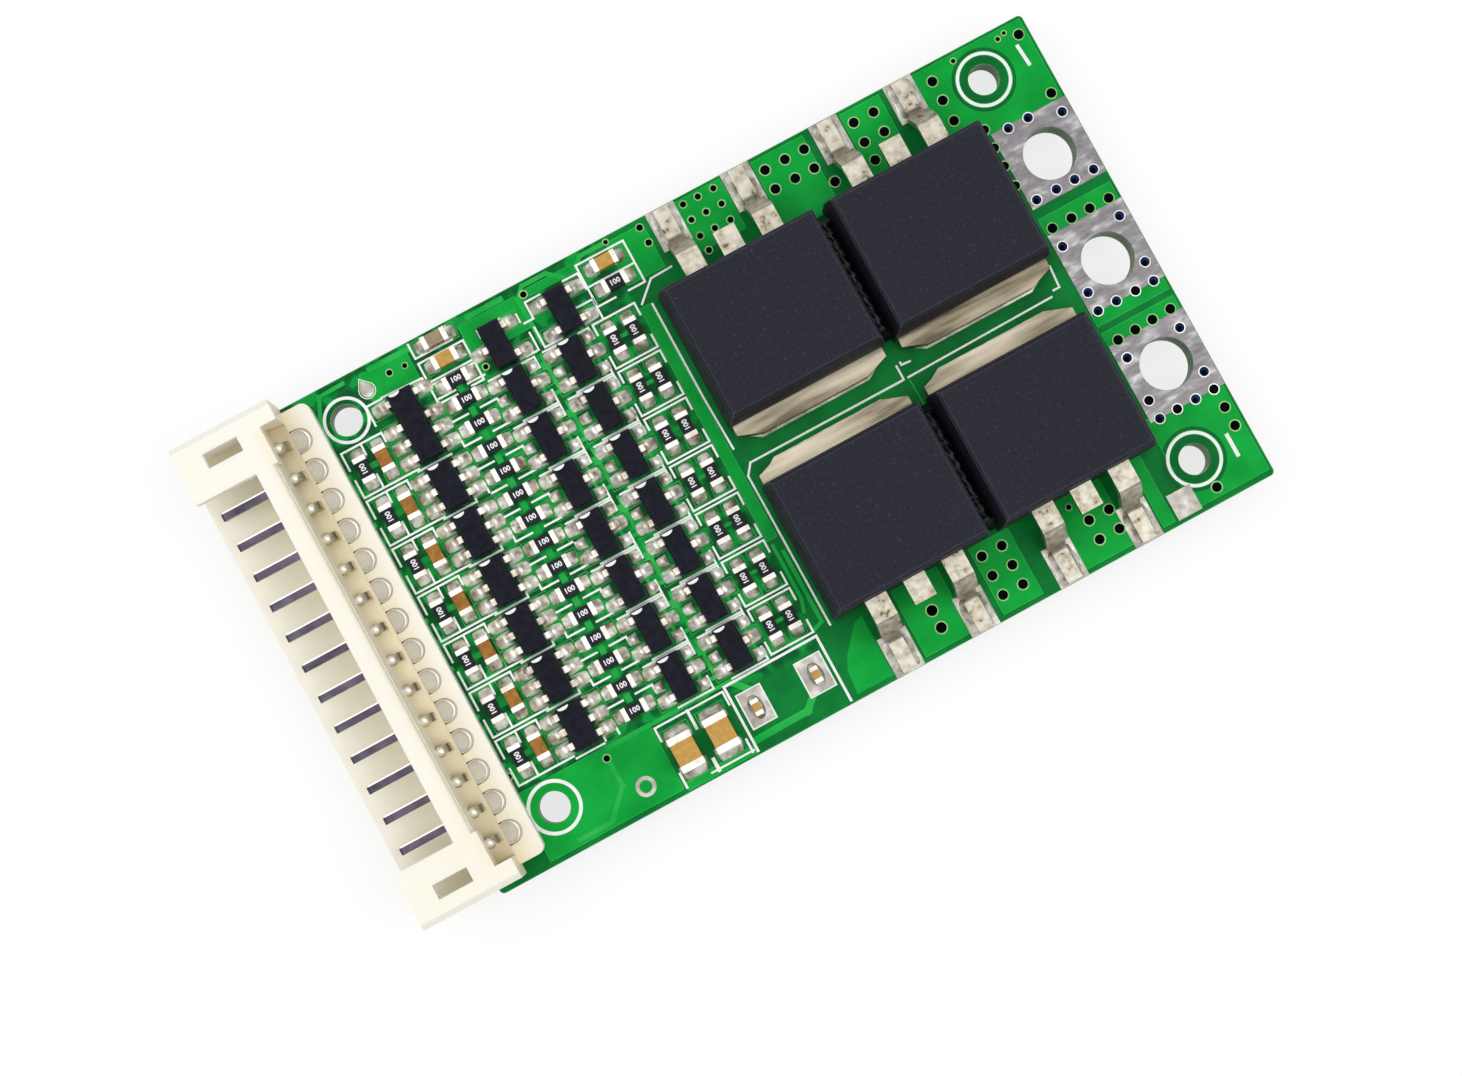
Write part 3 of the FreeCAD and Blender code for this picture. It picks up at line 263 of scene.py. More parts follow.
CERAMIC = surface(
    "capacitor_ceramic", [(0.3, (0.26, 0.1, 0.012)), (0.6, (0.38, 0.165, 0.028)), (0.8, (0.5, 0.26, 0.06))],
    3200, (0.4, 0.6), 6000, bump=0.4, specular=0.2,
)
PALE_CERAMIC = surface(
    "pale_capacitor_ceramic", [(0.3, (0.5, 0.275, 0.06)), (0.6, (0.59, 0.345, 0.09)), (0.85, (0.7, 0.45, 0.16))],
    3200, (0.4, 0.6), 6000, bump=0.2, specular=0.1,
)
HOLE_SHADE = surface(
    "via_depth", [(0.3, (0.0005, 0.001, 0.0015)), (0.7, (0.002, 0.003, 0.005))],
    1500, (0.6, 0.8), 3000, bump=0.1, specular=0.02,
)
HOLE_BLUE_GLINT = surface(
    "via_depth_blue", [(0.3, (0.002, 0.005, 0.03)), (0.7, (0.012, 0.03, 0.14))],
    1500, (0.5, 0.7), 3000, bump=0.1, specular=0.05,
)


def supply_ceramic():
    """The supply capacitor nearest the board's edge is greyer than its neighbour."""
    mat = PALE_CERAMIC.copy()
    mat.name = "supply_capacitor_ceramic"
    tree = mat.node_tree
    low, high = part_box("supply_capacitor_bodies")
    middle = (low.y + high.y) / 2 / MM
    grey = ramp(tree, noise(tree, 3200), [(0.3, (0.27, 0.2, 0.12)), (0.7, (0.38, 0.3, 0.19))])
    tint(mat, fade(tree, "Y", middle, middle + 0.05), grey)
    return mat


def nylon_material(name, inner_light):
    """Cream moulded nylon, with painted warm shade in the trough behind its wall, up the wall's rear and on the mouth's
    floor.
    """
    cream = [(0.3, (0.95, 0.9, 0.78)), (0.7, (0.97, 0.935, 0.84))]
    mat = surface(name, cream, 120, (0.36, 0.5), 1800, bump=0.08, specular=0.3)
    tree = mat.node_tree
    shader = tree.nodes["Principled BSDF"]
    shader.inputs["Subsurface Weight"].default_value = inner_light
    shader.inputs["Subsurface Radius"].default_value = (1.0, 1.0, 1.0)
    shader.inputs["Subsurface Scale"].default_value = 0.8 * MM
    # The mouth's floor: painted warm shade, more of it towards the wall
    within_mouth = fade(tree, "X", -27.45, -27.35, 1.0, 0.0)
    towards_wall = fade(tree, "X", -31.0, -27.6, 0.3, 1.0)
    tint(mat, product(tree, within_mouth, towards_wall, fade(tree, "Z", 2.6, 3.4, 1.0, 0.0)), (1.0, 0.925, 0.72))
    # Painted warm shade on the trough's floor behind the wall and up the wall towards its crest, between the ears
    behind_wall = fade(tree, "X", WALL_REAR - 0.35, WALL_REAR - 0.05)
    before_flange = fade(tree, "X", WALL_REAR + 1.0, WALL_REAR + 2.6, 1.0, 0.0)
    near_floor = fade(tree, "Z", TROUGH_FLOOR + 0.4, TROUGH_FLOOR + 2.4, 1.0, 0.0)
    trough = product(tree, behind_wall, before_flange, near_floor)
    between_ears = spread(tree, calculate(tree, "ABSOLUTE", axis_of(tree, "Y")), 1.0, 0.0, 14.1 * MM, 14.3 * MM)
    crown = fade(tree, "X", WALL_REAR - 0.9, WALL_REAR - 0.2, 0.0, 0.4)
    crown = product(tree, crown, between_ears, before_flange)
    tint(mat, calculate(tree, "MAXIMUM", trough, crown), (0.92, 0.81, 0.55))
    return mat


def laminate_material():
    """Board: solder mask above and below, bare glass laminate round the edge."""
    mat = mask_material("board_laminate", (0.001, 0.14, 0.024), (0.002, 0.22, 0.036))
    tree = mat.node_tree
    # Darker, harder mottle in the crowded area: the mask's uneven tone, with painted shade between the parts
    greens = [(0.42, (0.001, 0.095, 0.02)), (0.5, (0.001, 0.15, 0.028))]
    greens += [(0.55, (0.001, 0.18, 0.032)), (0.59, (0.003, 0.3, 0.045))]
    crowded_shade = product(tree, fade(tree, "X", -3.6, -3.0, 1.0, 0.0), fade(tree, "Y", -12.4, -11.8))
    tint(mat, crowded_shade, ramp(tree, noise(tree, 1100, 1.0), greens))
    facing = tree.nodes.new("ShaderNodeSeparateXYZ")
    tree.links.new(tree.nodes.new("ShaderNodeNewGeometry").outputs["Normal"], facing.inputs["Vector"])
    round_edge = spread(tree, calculate(tree, "ABSOLUTE", facing.outputs["Z"]), 1.0, 0.0, 0.0, 1.0)
    layers = noise(tree, 900, 2.0, (0.1, 0.1, 9.0))
    tint(mat, round_edge, ramp(tree, layers, [(0.35, (0.02, 0.10, 0.02)), (0.65, (0.12, 0.19, 0.06))]))
    # Lighter edges of the board and its holes: wear and painted highlight
    edge_wear_and_highlight(mat, 0.12, (0.13, 0.5, 0.15))
    return mat


def shoulder_material():
    """Shoulders of the posts: a painted highlight on the crown over olive gold flanks."""
    gold = [(0.35, (0.5, 0.41, 0.22)), (0.65, (0.72, 0.62, 0.38))]
    mat = surface("post_shoulder", gold, 900, (0.34, 0.44), 2600, bump=0.03, metallic=0.85)
    # Painted highlight on the top of each shoulder
    tint(mat, fade(mat.node_tree, "Z", 4.4, 4.5), (1.0, 0.98, 0.93))
    return mat


def post_material():
    """Tinned posts: dark in the mouth with a painted highlight along one edge; gold behind the wall, with painted shade
    before the dish and a painted glint at the tip.
    """
    violet = [(0.35, (0.055, 0.046, 0.066)), (0.65, (0.11, 0.094, 0.125))]
    mat = surface("post_plating", violet, 900, (0.25, 0.4), 2000, bump=0.1, metallic=1.0)
    tree = mat.node_tree
    # Painted highlight along each post's upper edge, which is 1.25 mm past a whole number of pitches
    from_edge = calculate(tree, "PINGPONG", calculate(tree, "ADD", axis_of(tree, "Y"), -1.25 * MM), POST_PITCH / 2 * MM)
    tint(mat, spread(tree, from_edge, 1.0, 0.0, 0.06 * MM, 0.09 * MM), (0.9, 0.86, 0.78))
    # Behind the wall: gold, with painted shade on the stretch before the dish and a painted glint on the gold tip past
    # it
    gold = ramp(tree, noise(tree, 1500), [(0.35, (0.5, 0.41, 0.22)), (0.6, (0.9, 0.83, 0.62))])
    shaded = product(tree, fade(tree, "X", -25.66, -25.58), fade(tree, "X", -25.16, -25.1, 1.0, 0.0))
    tint(mat, fade(tree, "X", -27.6, -27.3), blend_colour(tree, shaded, gold, (0.44, 0.385, 0.26)))
    return mat


NODE_MATERIALS = {
    "board": laminate_material(),
    "header_housing": nylon_material("header_nylon", 0.25),
    "header_pins": post_material(),
    "controller_body": PACKAGE_EPOXY,
    "monitor_bodies": PACKAGE_EPOXY,
    "storage_capacitor_bodies": PALE_CERAMIC,
    "supply_capacitor_bodies": supply_ceramic(),
    "output_capacitor_body": PALE_CERAMIC,
    "sense_capacitor_bodies": PALE_CERAMIC,
    "filter_capacitor_bodies": CERAMIC,
}
ENDINGS = [
    ("_ends", CHIP_END),
    ("_tab", TAB),
    ("mosfet_body", POWER_EPOXY),
    ("transistor_bodies", PACKAGE_EPOXY),
    ("transistor_body", PACKAGE_EPOXY),
    ("resistor_bodies", RESISTOR),
    ("resistor_body", RESISTOR),
    ("mosfet_leads", LEAD),
    ("_leads", SMALL_LEAD),
]
for name, node in nodes.items():
    mat = NODE_MATERIALS.get(name) or next(m for ending, m in ENDINGS if name.endswith(ending))
    node.data.materials.clear()
    node.data.materials.append(mat)


def arc(x, y, reach, steps, start=0.0, sweep=360.0):
    """Points round a circle, or an oval when reach is a pair, or along part of one, in degrees."""
    across, up = reach if isinstance(reach, tuple) else (reach, reach)
    count = steps if sweep == 360.0 else steps + 1
    turns = [math.radians(start + sweep * k / steps) for k in range(count)]
    return [(x + across * math.cos(t), y + up * math.sin(t)) for t in turns]


def corners_of(x0, y0, x1, y1):
    return [(x0, y0), (x1, y0), (x1, y1), (x0, y1)]


def area_of(loop):
    return sum(a.x * b.y - b.x * a.y for a, b in zip(loop, loop[1:] + loop[:1])) / 2


def above(height):
    return BOARD_TOP + height


def new_piece(name, points, faces, material):
    """Mesh object from points in metres."""
    mesh = bpy.data.meshes.new(name)
    mesh.from_pydata(points, [], faces)
    mesh.update()
    mesh.materials.append(material)
    piece = bpy.data.objects.new(name, mesh)
    bpy.context.scene.collection.objects.link(piece)
    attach(piece, "root")
    return piece


class Relief:
    """Thin shapes gathered into one mesh, each between two heights in millimetres."""

    # Shapes that cross lie this much apart, so that no two faces share a plane
    LIFT, LIFTS = 0.0007, 7

    def __init__(self, name, material, slot, low=0.0, high=0.0, origin=ARTWORK):
        self.name, self.material, self.slot = name, material, slot
        self.low, self.high, self.origin = low, high, origin
        self.points, self.faces = [], []
        self.smooth, self.laid = False, 0

    def at(self, places, height):
        """Places of the drawing as points of the frame."""
        return [(x + self.origin.x, y + self.origin.y, height) for x, y in places]

    def loft(self, loops, ends="capped"):
        """Skin over loops of points; its ends are capped, open or joined to each other."""
        count = len(loops[0])
        starts = [len(self.points) + count * k for k in range(len(loops))]
        for loop in loops:
            self.points += loop
        back = starts[:1] if ends == "joined" else []
        for near, far in zip(starts, starts[1:] + back):
            for k in range(count):
                after = (k + 1) % count
                self.faces.append([near + k, near + after, far + after, far + k])
        if ends == "capped":
            self.faces.append([starts[-1] + k for k in range(count)])
            self.faces.append([starts[0] + k for k in reversed(range(count))])

    def prism(self, outline, low=None, high=None):
        """Upright prism over an outline."""
        low = self.low if low is None else low
        high = (self.high if high is None else high) + self.LIFT * (self.laid % self.LIFTS)
        self.laid += 1
        self.loft([self.at(outline, low), self.at(outline, high)])

    def box(self, x0, y0, x1, y1):
        self.prism(corners_of(x0, y0, x1, y1))

    def sheet(self, outline, holes):
        """Plate with round holes, each x, y and radius."""
        loops = [outline] + [arc(x, y, radius, 40) for x, y, radius in holes]
        loops = [[Vector((x, y, 0)) for x, y in loop] for loop in loops]
        flat = [point for loop in loops for point in loop]
        start, count = len(self.points), len(flat)
        for height in (self.low, self.high):
            self.points += self.at([(p.x, p.y) for p in flat], height)
        for triangle in tessellate_polygon(loops):
            a, b, c = (flat[k] for k in triangle)
            corners = list(triangle) if (b - a).cross(c - a).z > 0 else list(reversed(triangle))
            self.faces.append([start + count + k for k in corners])
            self.faces.append([start + k for k in reversed(corners)])
        first = start
        for number, loop in enumerate(loops):
            turn_back = (area_of(loop) > 0) != (number == 0)
            for k in range(len(loop)):
                one, two = first + k, first + (k + 1) % len(loop)
                if turn_back:
                    one, two = two, one
                self.faces.append([one, two, count + two, count + one])
            first += len(loop)

    def line(self, places, width):
        """Strip of even width through places."""
        for (x0, y0), (x1, y1) in zip(places, places[1:]):
            along = Vector((x1 - x0, y1 - y0)).normalized() * width / 2
            side = Vector((-along.y, along.x))
            first, last = Vector((x0, y0)) - along, Vector((x1, y1)) + along
            self.prism([tuple(first - side), tuple(last - side), tuple(last + side), tuple(first + side)])

    def lines(self, width, *runs):
        """Several strips of one width."""
        for places in runs:
            self.line(places, width)

    def frame(self, x0, y0, x1, y1, width):
        loop = corners_of(x0, y0, x1, y1)
        self.line(loop + loop[:1], width)

    def ring(self, x, y, inner, outer, sides=32):
        """Flat ring."""
        rims = ((outer, self.low), (outer, self.high), (inner, self.high), (inner, self.low))
        self.loft([self.at(arc(x, y, radius, sides), height) for radius, height in rims], "joined")

    def disc(self, x, y, radius, sides=24):
        self.prism(arc(x, y, radius, sides))

    def turned(self, x, y, profile, sides, ends="capped", squash=1.0):
        """Round shape about an upright axis, from radius and height pairs; squash narrows it in x."""
        loops = [self.at(arc(x, y, (radius * squash, radius), sides), height) for radius, height in profile]
        self.loft(loops, ends)

    def make(self):
        points = [tuple(c * MM for c in point) for point in self.points]
        piece = new_piece(self.name, points, self.faces, self.material)
        if self.smooth:
            piece.data.shade_smooth()
            piece.data.set_sharp_from_angle(angle=math.radians(70))
        return piece


def on_board(name, material, slot, height, origin=ARTWORK):
    """Relief that stands on the board's top."""
    return Relief(name, material, slot, BOARD_TOP, above(height), origin)


def split_solids(name):
    """Low and high corner of each separate solid in a node, in millimetres."""
    mesh = nodes[name].data
    keys = {}
    same = [keys.setdefault(tuple(round(c * 1e6) for c in v.co), v.index) for v in mesh.vertices]
    parent = {k: k for k in set(same)}

    def top(k):
        while parent[k] != k:
            parent[k] = parent[parent[k]]
            k = parent[k]
        return k

    for polygon in mesh.polygons:
        first = top(same[polygon.vertices[0]])
        for corner in polygon.vertices:
            parent[top(same[corner])] = first
    groups = {}
    for index in parent:
        groups.setdefault(top(index), []).append(mesh.vertices[index].co / MM)
    corners = []
    for places in groups.values():
        low = Vector([min(p[axis] for p in places) for axis in range(3)])
        high = Vector([max(p[axis] for p in places) for axis in range(3)])
        corners.append((low, high))
    return corners


# Holes through the board; each mounting hole has its printed ring's radius and width,
# each terminal the lower and upper end of its land
MOUNTING_BORE, TERMINAL_BORE = 0.97, 1.62
MOUNTING = [(-21.4, 13.3, 1.33, 0.19), (-21.4, -12.7, 1.55, 0.22), (21.8, 13.3, 1.6, 0.2), (21.8, -12.7, 1.6, 0.2)]
TERMINALS = [(23.1, 7.5, 4.95, 10.15), (23.1, 0.3, -2.25, 3.15), (23.1, -6.9, -9.6, -4.4)]
HOLES = [(x, y, MOUNTING_BORE) for x, y, radius, width in MOUNTING]
HOLES += [(x, y, TERMINAL_BORE) for x, y, low, high in TERMINALS]


def within(x0, y0, x1, y1):
    """Holes that lie in a rectangle."""
    return [(x, y, r) for x, y, r in HOLES if x0 < x - r and x + r < x1 and y0 < y - r and y + r < y1]


# Copper under the mask, with a painted highlight line where its edge stands up
copper = on_board("copper_pours", GREEN_COPPER, "laminate", 0.02)
# Painted highlight along the edge of each pour
border_highlights = on_board("copper_border_highlights", GREEN_TRACK, "laminate", 0.026)
for pour in (
    (-2.9, 12.45, -0.4, 15.35),
    (1.8, 12.2, 4.95, 15.55),
    (7.05, 10.6, 10.55, 15.5),
    (13.1, 10.6, 15.75, 15.5),
    (18.05, 10.2, 25.45, 15.55),
    (2.1, -15.4, 5.15, -11.0),
    (7.35, -15.4, 10.0, -11.0),
    (13.0, -15.4, 16.2, -11.0),
    (18.2, -15.4, 19.0, -11.0),
    (20.35, -15.35, 25.45, -9.3),
    (20.55, 3.1, 25.45, 4.3),
    (20.55, -3.05, 25.45, -2.2),
    (20.55, -4.4, 25.45, -3.5),
    (-2.95, -4.9, -2.25, 10.9),
    (-23.1, -15.4, -14.2, -11.0),
    (-14.0, -15.6, -9.4, -15.1),
    (-19.5, 12.75, -16.4, 15.3),
    (-13.0, 13.0, -9.2, 15.1),
    (-8.4, 14.7, -5.2, 15.2),
):
    copper.sheet(corners_of(*pour), within(*pour))
    border_highlights.frame(*pour, 0.06)
border_highlights.make()
copper.prism([(-2.55, -15.4), (-0.1, -15.4), (-0.1, -11.4), (-0.7, -11.6), (-1.3, -12.3), (-2.0, -13.1), (-2.4, -13.9)])
copper.make()

tracks = on_board("tracks", GREEN_TRACK, "laminate", 0.035)
tracks.line([(-17.3, -11.7), (-17.3, -13.5), (-18.85, -15.1), (-21.0, -15.1)], 0.3)
tracks.line([(-17.0, -11.15), (-8.8, -11.1)], 0.25)
tracks.line([(-8.7, -11.3), (-8.0, -12.1)], 0.4)
tracks.line([(-9.0, -14.9), (-5.6, -14.85), (-5.0, -14.3)], 0.45)
tracks.line([(-18.8, 15.35), (-16.3, 15.35)], 0.35)
tracks.line([(-12.2, 15.35), (-10.0, 15.35)], 0.35)
tracks.line([(-9.05, 11.9), (-9.05, 14.9), (-8.5, 15.45), (-6.9, 15.45), (-6.1, 14.75)], 0.28)
tracks.line([(-5.2, 14.9), (-4.6, 15.4), (-3.2, 15.4)], 0.28)
tracks.line([(-2.75, -5.3), (-2.75, -8.8), (-3.0, -9.6)], 0.22)
tracks.line([(-2.35, -5.9), (-2.35, -10.6), (-2.9, -10.8)], 0.25)
tracks.line([(-0.1, -0.35), (8.6, -0.35)], 0.12)
tracks.line([(9.15, -0.5), (9.2, -2.4)], 0.1)
tracks.line([(-23.0, 12.4), (-22.85, 13.9), (-22.2, 15.3), (-20.6, 15.35)], 0.25)
for row in ROWS:
    tracks.box(-23.1, row - 0.15, -22.75, row + 0.15)
    tracks.box(-21.7, row - 0.18, -20.95, row + 0.18)
    tracks.box(-9.75, row + 0.15, -9.2, row + 0.65)
    tracks.box(-9.75, row - 1.5, -9.2, row - 1.25)
    tracks.box(-9.5, row - 1.1, -9.3, row + 1.1)
    tracks.box(-4.75, row - 0.35, -4.25, row - 0.1)
    tracks.line([(-16.9, row - 1.2), (-16.75, row + 1.2)], 0.2)
    tracks.line([(-10.25, row - 1.4), (-10.25, row + 1.4)], 0.2)
    tracks.line([(-6.55, row - 1.4), (-6.55, row + 1.4)], 0.2)
for row in SERIES_ROWS:
    tracks.box(-14.75, row + 0.5, -14.35, row + 1.1)
tracks.make()

# White print
silk = on_board("silk_lines", SILK, "laminate", 0.045)
PRINT = 0.125
for row in ROWS:
    high, low = row + 1.47, row - 1.5
    silk.lines(
        PRINT,
        [(-22.65, row + 0.35), (-22.65, high), (-20.0, high)],
        [(-22.65, row - 0.35), (-22.65, low), (-19.0, low)],
        [(-21.35, high), (-21.35, row + 0.75)],
        [(-21.35, low), (-21.35, row - 0.6)],
        [(-19.95, high), (-19.95, row + 0.9)],
    )
    switch = row - 0.35
    for near, low_end, high_end in ((-9.85, -12.2, -12.9), (-6.2, -8.6, -9.25)):
        silk.line([(near, switch - 0.75), (near, switch - 1.58), (low_end, switch - 1.58)], PRINT)
        silk.line([(near, switch + 0.8), (near, switch + 1.5), (high_end, switch + 1.5)], PRINT)
    silk.line([(-5.9, row + 0.5), (-5.9, high - 0.3), (-3.08, high - 0.3), (-3.08, row + 0.4)], PRINT)
    silk.line([(-5.9, row - 1.0), (-5.9, low - 0.3), (-3.08, low - 0.3), (-3.08, row - 1.0)], PRINT)
for row in ROWS[1:]:
    silk.line([(-19.1, row + 1.6), (-16.9, row + 1.6)], PRINT)
    silk.line([(-16.9, row - 1.58), (-16.9, row - 1.3)], PRINT)
silk.lines(
    PRINT,
    [(-20.05, 12.2), (-20.05, 13.45), (-19.0, 13.45)],
    [(-18.95, 13.5), (-16.3, 13.4), (-16.3, 12.9)],
    [(-18.9, -10.8), (-17.05, -10.8)],
)
for row in SERIES_ROWS:
    for x0, x1 in ((-16.0, -14.9), (-14.05, -12.95)):
        silk.line([(x0, row + 0.8), (x1, row + 0.8)], PRINT)
for row in SERIES_ROWS[::2]:
    silk.line([(-12.95, row + 0.8), (-12.95, row + 0.45)], PRINT)
    silk.line([(-16.0, row - 0.8), (-16.0, row - 0.45)], PRINT)
silk.frame(-16.1, 12.95, -13.1, 14.25, PRINT)
silk.lines(
    PRINT,
    [(-13.1, 12.75), (-16.15, 12.75), (-16.15, 11.55), (-14.9, 11.55)],
    [(-13.1, 12.95), (-13.1, 11.6), (-13.9, 11.6)],
    [(-16.1, 15.55), (-16.1, 14.6), (-13.65, 14.6), (-13.65, 15.5)],
    [(-10.4, 14.1), (-9.6, 14.1), (-9.6, 13.6)],
    [(-9.4, 12.75), (-9.4, 11.6), (-10.2, 11.6)],
    [(-12.1, 13.9), (-12.1, 14.35), (-10.6, 14.35)],
    [(-7.8, 14.5), (-8.8, 14.5), (-8.8, 13.4), (-9.4, 13.4)],
    [(-6.2, 14.55), (-5.2, 14.55), (-5.2, 13.5)],
    [(-9.0, 12.9), (-9.0, 11.55), (-7.9, 11.55)],
    [(-6.2, 12.75), (-5.15, 12.75), (-5.15, 11.5)],
    [(-5.1, 12.2), (-3.9, 12.2)],
    [(-3.0, 12.2), (-1.9, 12.2), (-1.9, 15.0), (-5.1, 15.0), (-5.1, 13.5), (-1.9, 13.5)],
    [(-5.1, 13.5), (-5.1, 12.4)],
    [(-0.1, 12.25), (-1.5, 12.2), (-2.7, 11.1)],
    [(-2.15, 10.8), (-2.15, 4.5), (-2.05, 0.9)],
    [(-2.0, -11.0), (-2.05, -0.95), (-1.55, -0.3), (8.85, -0.3), (8.85, 0.6)],
    [(9.15, -0.3), (19.0, -0.15)],
    [(9.15, 0.7), (9.15, 0.55), (9.7, 0.5)],
    [(19.8, 1.5), (19.7, 0.15), (19.3, 0.15)],
)
silk.line([(-9.3, -15.5), (-9.3, -11.25), (-3.05, -11.2), (-3.05, -15.5)], PRINT * 1.3)
silk.line([(-14.05, -12.3), (-14.05, -11.45), (-9.5, -11.45), (-9.5, -12.3)], PRINT)
silk.line([(-11.85, -11.45), (-11.85, -12.6)], PRINT * 1.5)
silk.line([(-14.0, -14.5), (-14.0, -15.4)], PRINT * 1.2)
silk.line([(-11.85, -14.7), (-11.85, -15.4)], PRINT * 1.8)
silk.line([(-9.6, -14.6), (-9.6, -15.4)], PRINT * 1.2)
silk.line([(-12.3, -15.35), (-9.5, -15.35)], PRINT)
SENSE_PADS = ((-8.95, -7.35), (-5.05, -3.35))
for x0, x1 in SENSE_PADS:
    silk.frame(x0 + 0.02, -14.28, x1 - 0.02, -12.07, 0.11)
teardrop = arc(-19.5, 14.3, 0.5, 16, 150, 240)
silk.line(teardrop + [(-19.63, 15.12), teardrop[0]], 0.05)
for x, y, radius, width in MOUNTING:
    silk.ring(x, y, radius - width / 2, radius + width / 2, 56)
silk.line([(24.55, 14.1), (24.65, 12.85)], 0.22)
silk.line([(24.2, -12.4), (24.2, -13.7)], 0.24)
silk.make()

# Dark rings round the right mounting holes where the copper stops
bare = Relief("bare_mask_rings", GREEN_BARE, "laminate", above(0.02), above(0.026))
for x, y, radius, width in MOUNTING[2:]:
    bare.ring(x, y, 0.98, 1.45, 48)
    bare.ring(x, y, 1.75, 1.95, 48)
bare.make()

# Tinned pads that carry no part, and the terminal lands
pads = on_board("bare_pads", TIN, "chip_end", 0.05)
pads.box(19.2, -15.5, 20.8, -13.85)
pads.prism(arc(-19.5, 14.3, 0.42, 16, 150, 240) + [(-19.62, 15.0)])
for x0, x1 in SENSE_PADS:
    pads.box(x0 + 0.06, -14.26, x1 - 0.06, -12.09)
pads.ring(-16.1, -14.2, 0.38, 0.62)
pads.make()
# Dark oval rings round the sense capacitors: painted shade of their solder fillets
shade_ovals = on_board("sense_pad_shade_ovals", OVAL_SHADE, "chip_end", 0.06, FRAME)
for low, high in split_solids("sense_capacitor_bodies"):
    centre, half = (low + high) / 2, (high - low) / 2
    outline = arc(centre.x, centre.y, (half.x + 0.16, half.y + 0.42), 28)
    shade_ovals.line(outline + outline[:1], 0.15)
shade_ovals.make()


def terminal_lands(name, low, high):
    lands = Relief(name, TERMINAL_TIN, "chip_end", low, high)
    for x, y, lower, upper in TERMINALS:
        lands.sheet(corners_of(20.55, lower, 25.6, upper), [(x, y, TERMINAL_BORE)])
    lands.make()


terminal_lands("terminal_pads", BOARD_TOP, above(0.06))


# Plated through holes
def grid(columns, rows, radius):
    return [(x, y, radius) for x in columns for y in rows]


VIAS = [(-0.65, 15.2, 0.2), (-0.6, 14.15, 0.2)]
VIAS += grid((2.3, 3.3, 4.35), (15.2, 14.15, 13.05), 0.19) + [(2.35, 12.05, 0.19)]
VIAS += grid((7.6, 8.95, 10.25), (14.7, 13.4), 0.3) + [(10.95, 12.1, 0.3)]
VIAS += grid((13.65, 15.0), (14.7, 13.35), 0.3) + [(13.7, 12.1, 0.3)]
VIAS += grid([19.0], (14.65, 13.35, 11.95), 0.3)
VIAS += [(20.7, 15.15, 0.14), (23.7, 15.05, 0.14), (24.2, 15.2, 0.12)]
VIAS += grid([24.95], (14.7, 10.65), 0.3) + grid([20.35], (10.6, 9.35, 8.1, 6.75), 0.27)
VIAS += grid((21.05, 22.35, 23.6, 24.9), [3.45], 0.3)
VIAS += [(21.25, -4.3, 0.3), (22.45, -4.25, 0.3), (23.65, -4.2, 0.3), (24.9, -4.15, 0.3)]
VIAS += [(24.9, -10.85, 0.3), (24.9, -12.1, 0.3), (22.15, -14.8, 0.3)]
VIAS += grid((7.85, 9.2), (-11.75, -13.05, -14.35), 0.3) + grid([3.7], (-13.15, -14.3), 0.33)
VIAS += grid((14.5, 15.85), (-12.9, -14.2), 0.3) + [(13.8, -11.65, 0.16)]
VIAS += [(-17.85, 14.6, 0.18), (-16.85, 14.55, 0.15), (-12.65, 12.2, 0.16), (-8.65, 14.95, 0.2), (-2.85, 15.4, 0.14)]
VIAS += [(-17.35, -11.65, 0.2), (-22.95, -9.85, 0.2)]
TERMINAL_VIA = 0.29
TERMINAL_VIAS = [(21.65, 10.0), (23.0, 10.0), (24.98, 9.35)]
TERMINAL_VIAS += [(x, 5.4) for x in (21.05, 22.4, 23.65, 24.95)]
TERMINAL_VIAS += [(21.05, 2.2), (24.95, 2.2), (21.05, -0.95), (24.95, -0.95)]
TERMINAL_VIAS += [(x, -2.2) for x in (21.05, 22.3, 23.6, 24.85)]
TERMINAL_VIAS += [(21.2, -5.5), (24.85, -5.4), (21.1, -8.35), (24.85, -8.4)]
TERMINAL_VIAS += [(x, -9.6) for x in (21.15, 22.35, 23.6, 24.85)]
via_rings = on_board("via_rings", RING_MASK, "laminate", 0.072)
pad_rings = on_board("terminal_via_rings", RING_TIN, "chip_end", 0.075)
# Dark discs in the via holes: painted shade of the holes
via_hole_shades = on_board("via_hole_shades", HOLE_SHADE, "laminate", 0.066)
blue_glints = on_board("terminal_via_depths", HOLE_BLUE_GLINT, "laminate", 0.066)
via_core_shades = on_board("terminal_via_cores", HOLE_SHADE, "laminate", 0.0715)
for x, y, radius in VIAS:
    via_rings.ring(x, y, radius, radius + 0.075, 28)
    via_hole_shades.disc(x, y, radius, 28)
for x, y in TERMINAL_VIAS:
    pad_rings.ring(x, y, TERMINAL_VIA, TERMINAL_VIA + 0.06, 28)
    # Most of them have a painted blue glint round a painted dark core
    if rng.random() < 0.7:
        blue_glints.disc(x, y, TERMINAL_VIA, 28)
        via_core_shades.disc(x - 0.06, y - 0.05, 0.16, 20)
    else:
        via_hole_shades.disc(x, y, TERMINAL_VIA, 28)
for relief in (via_rings, pad_rings, via_hole_shades, blue_glints, via_core_shades):
    relief.make()


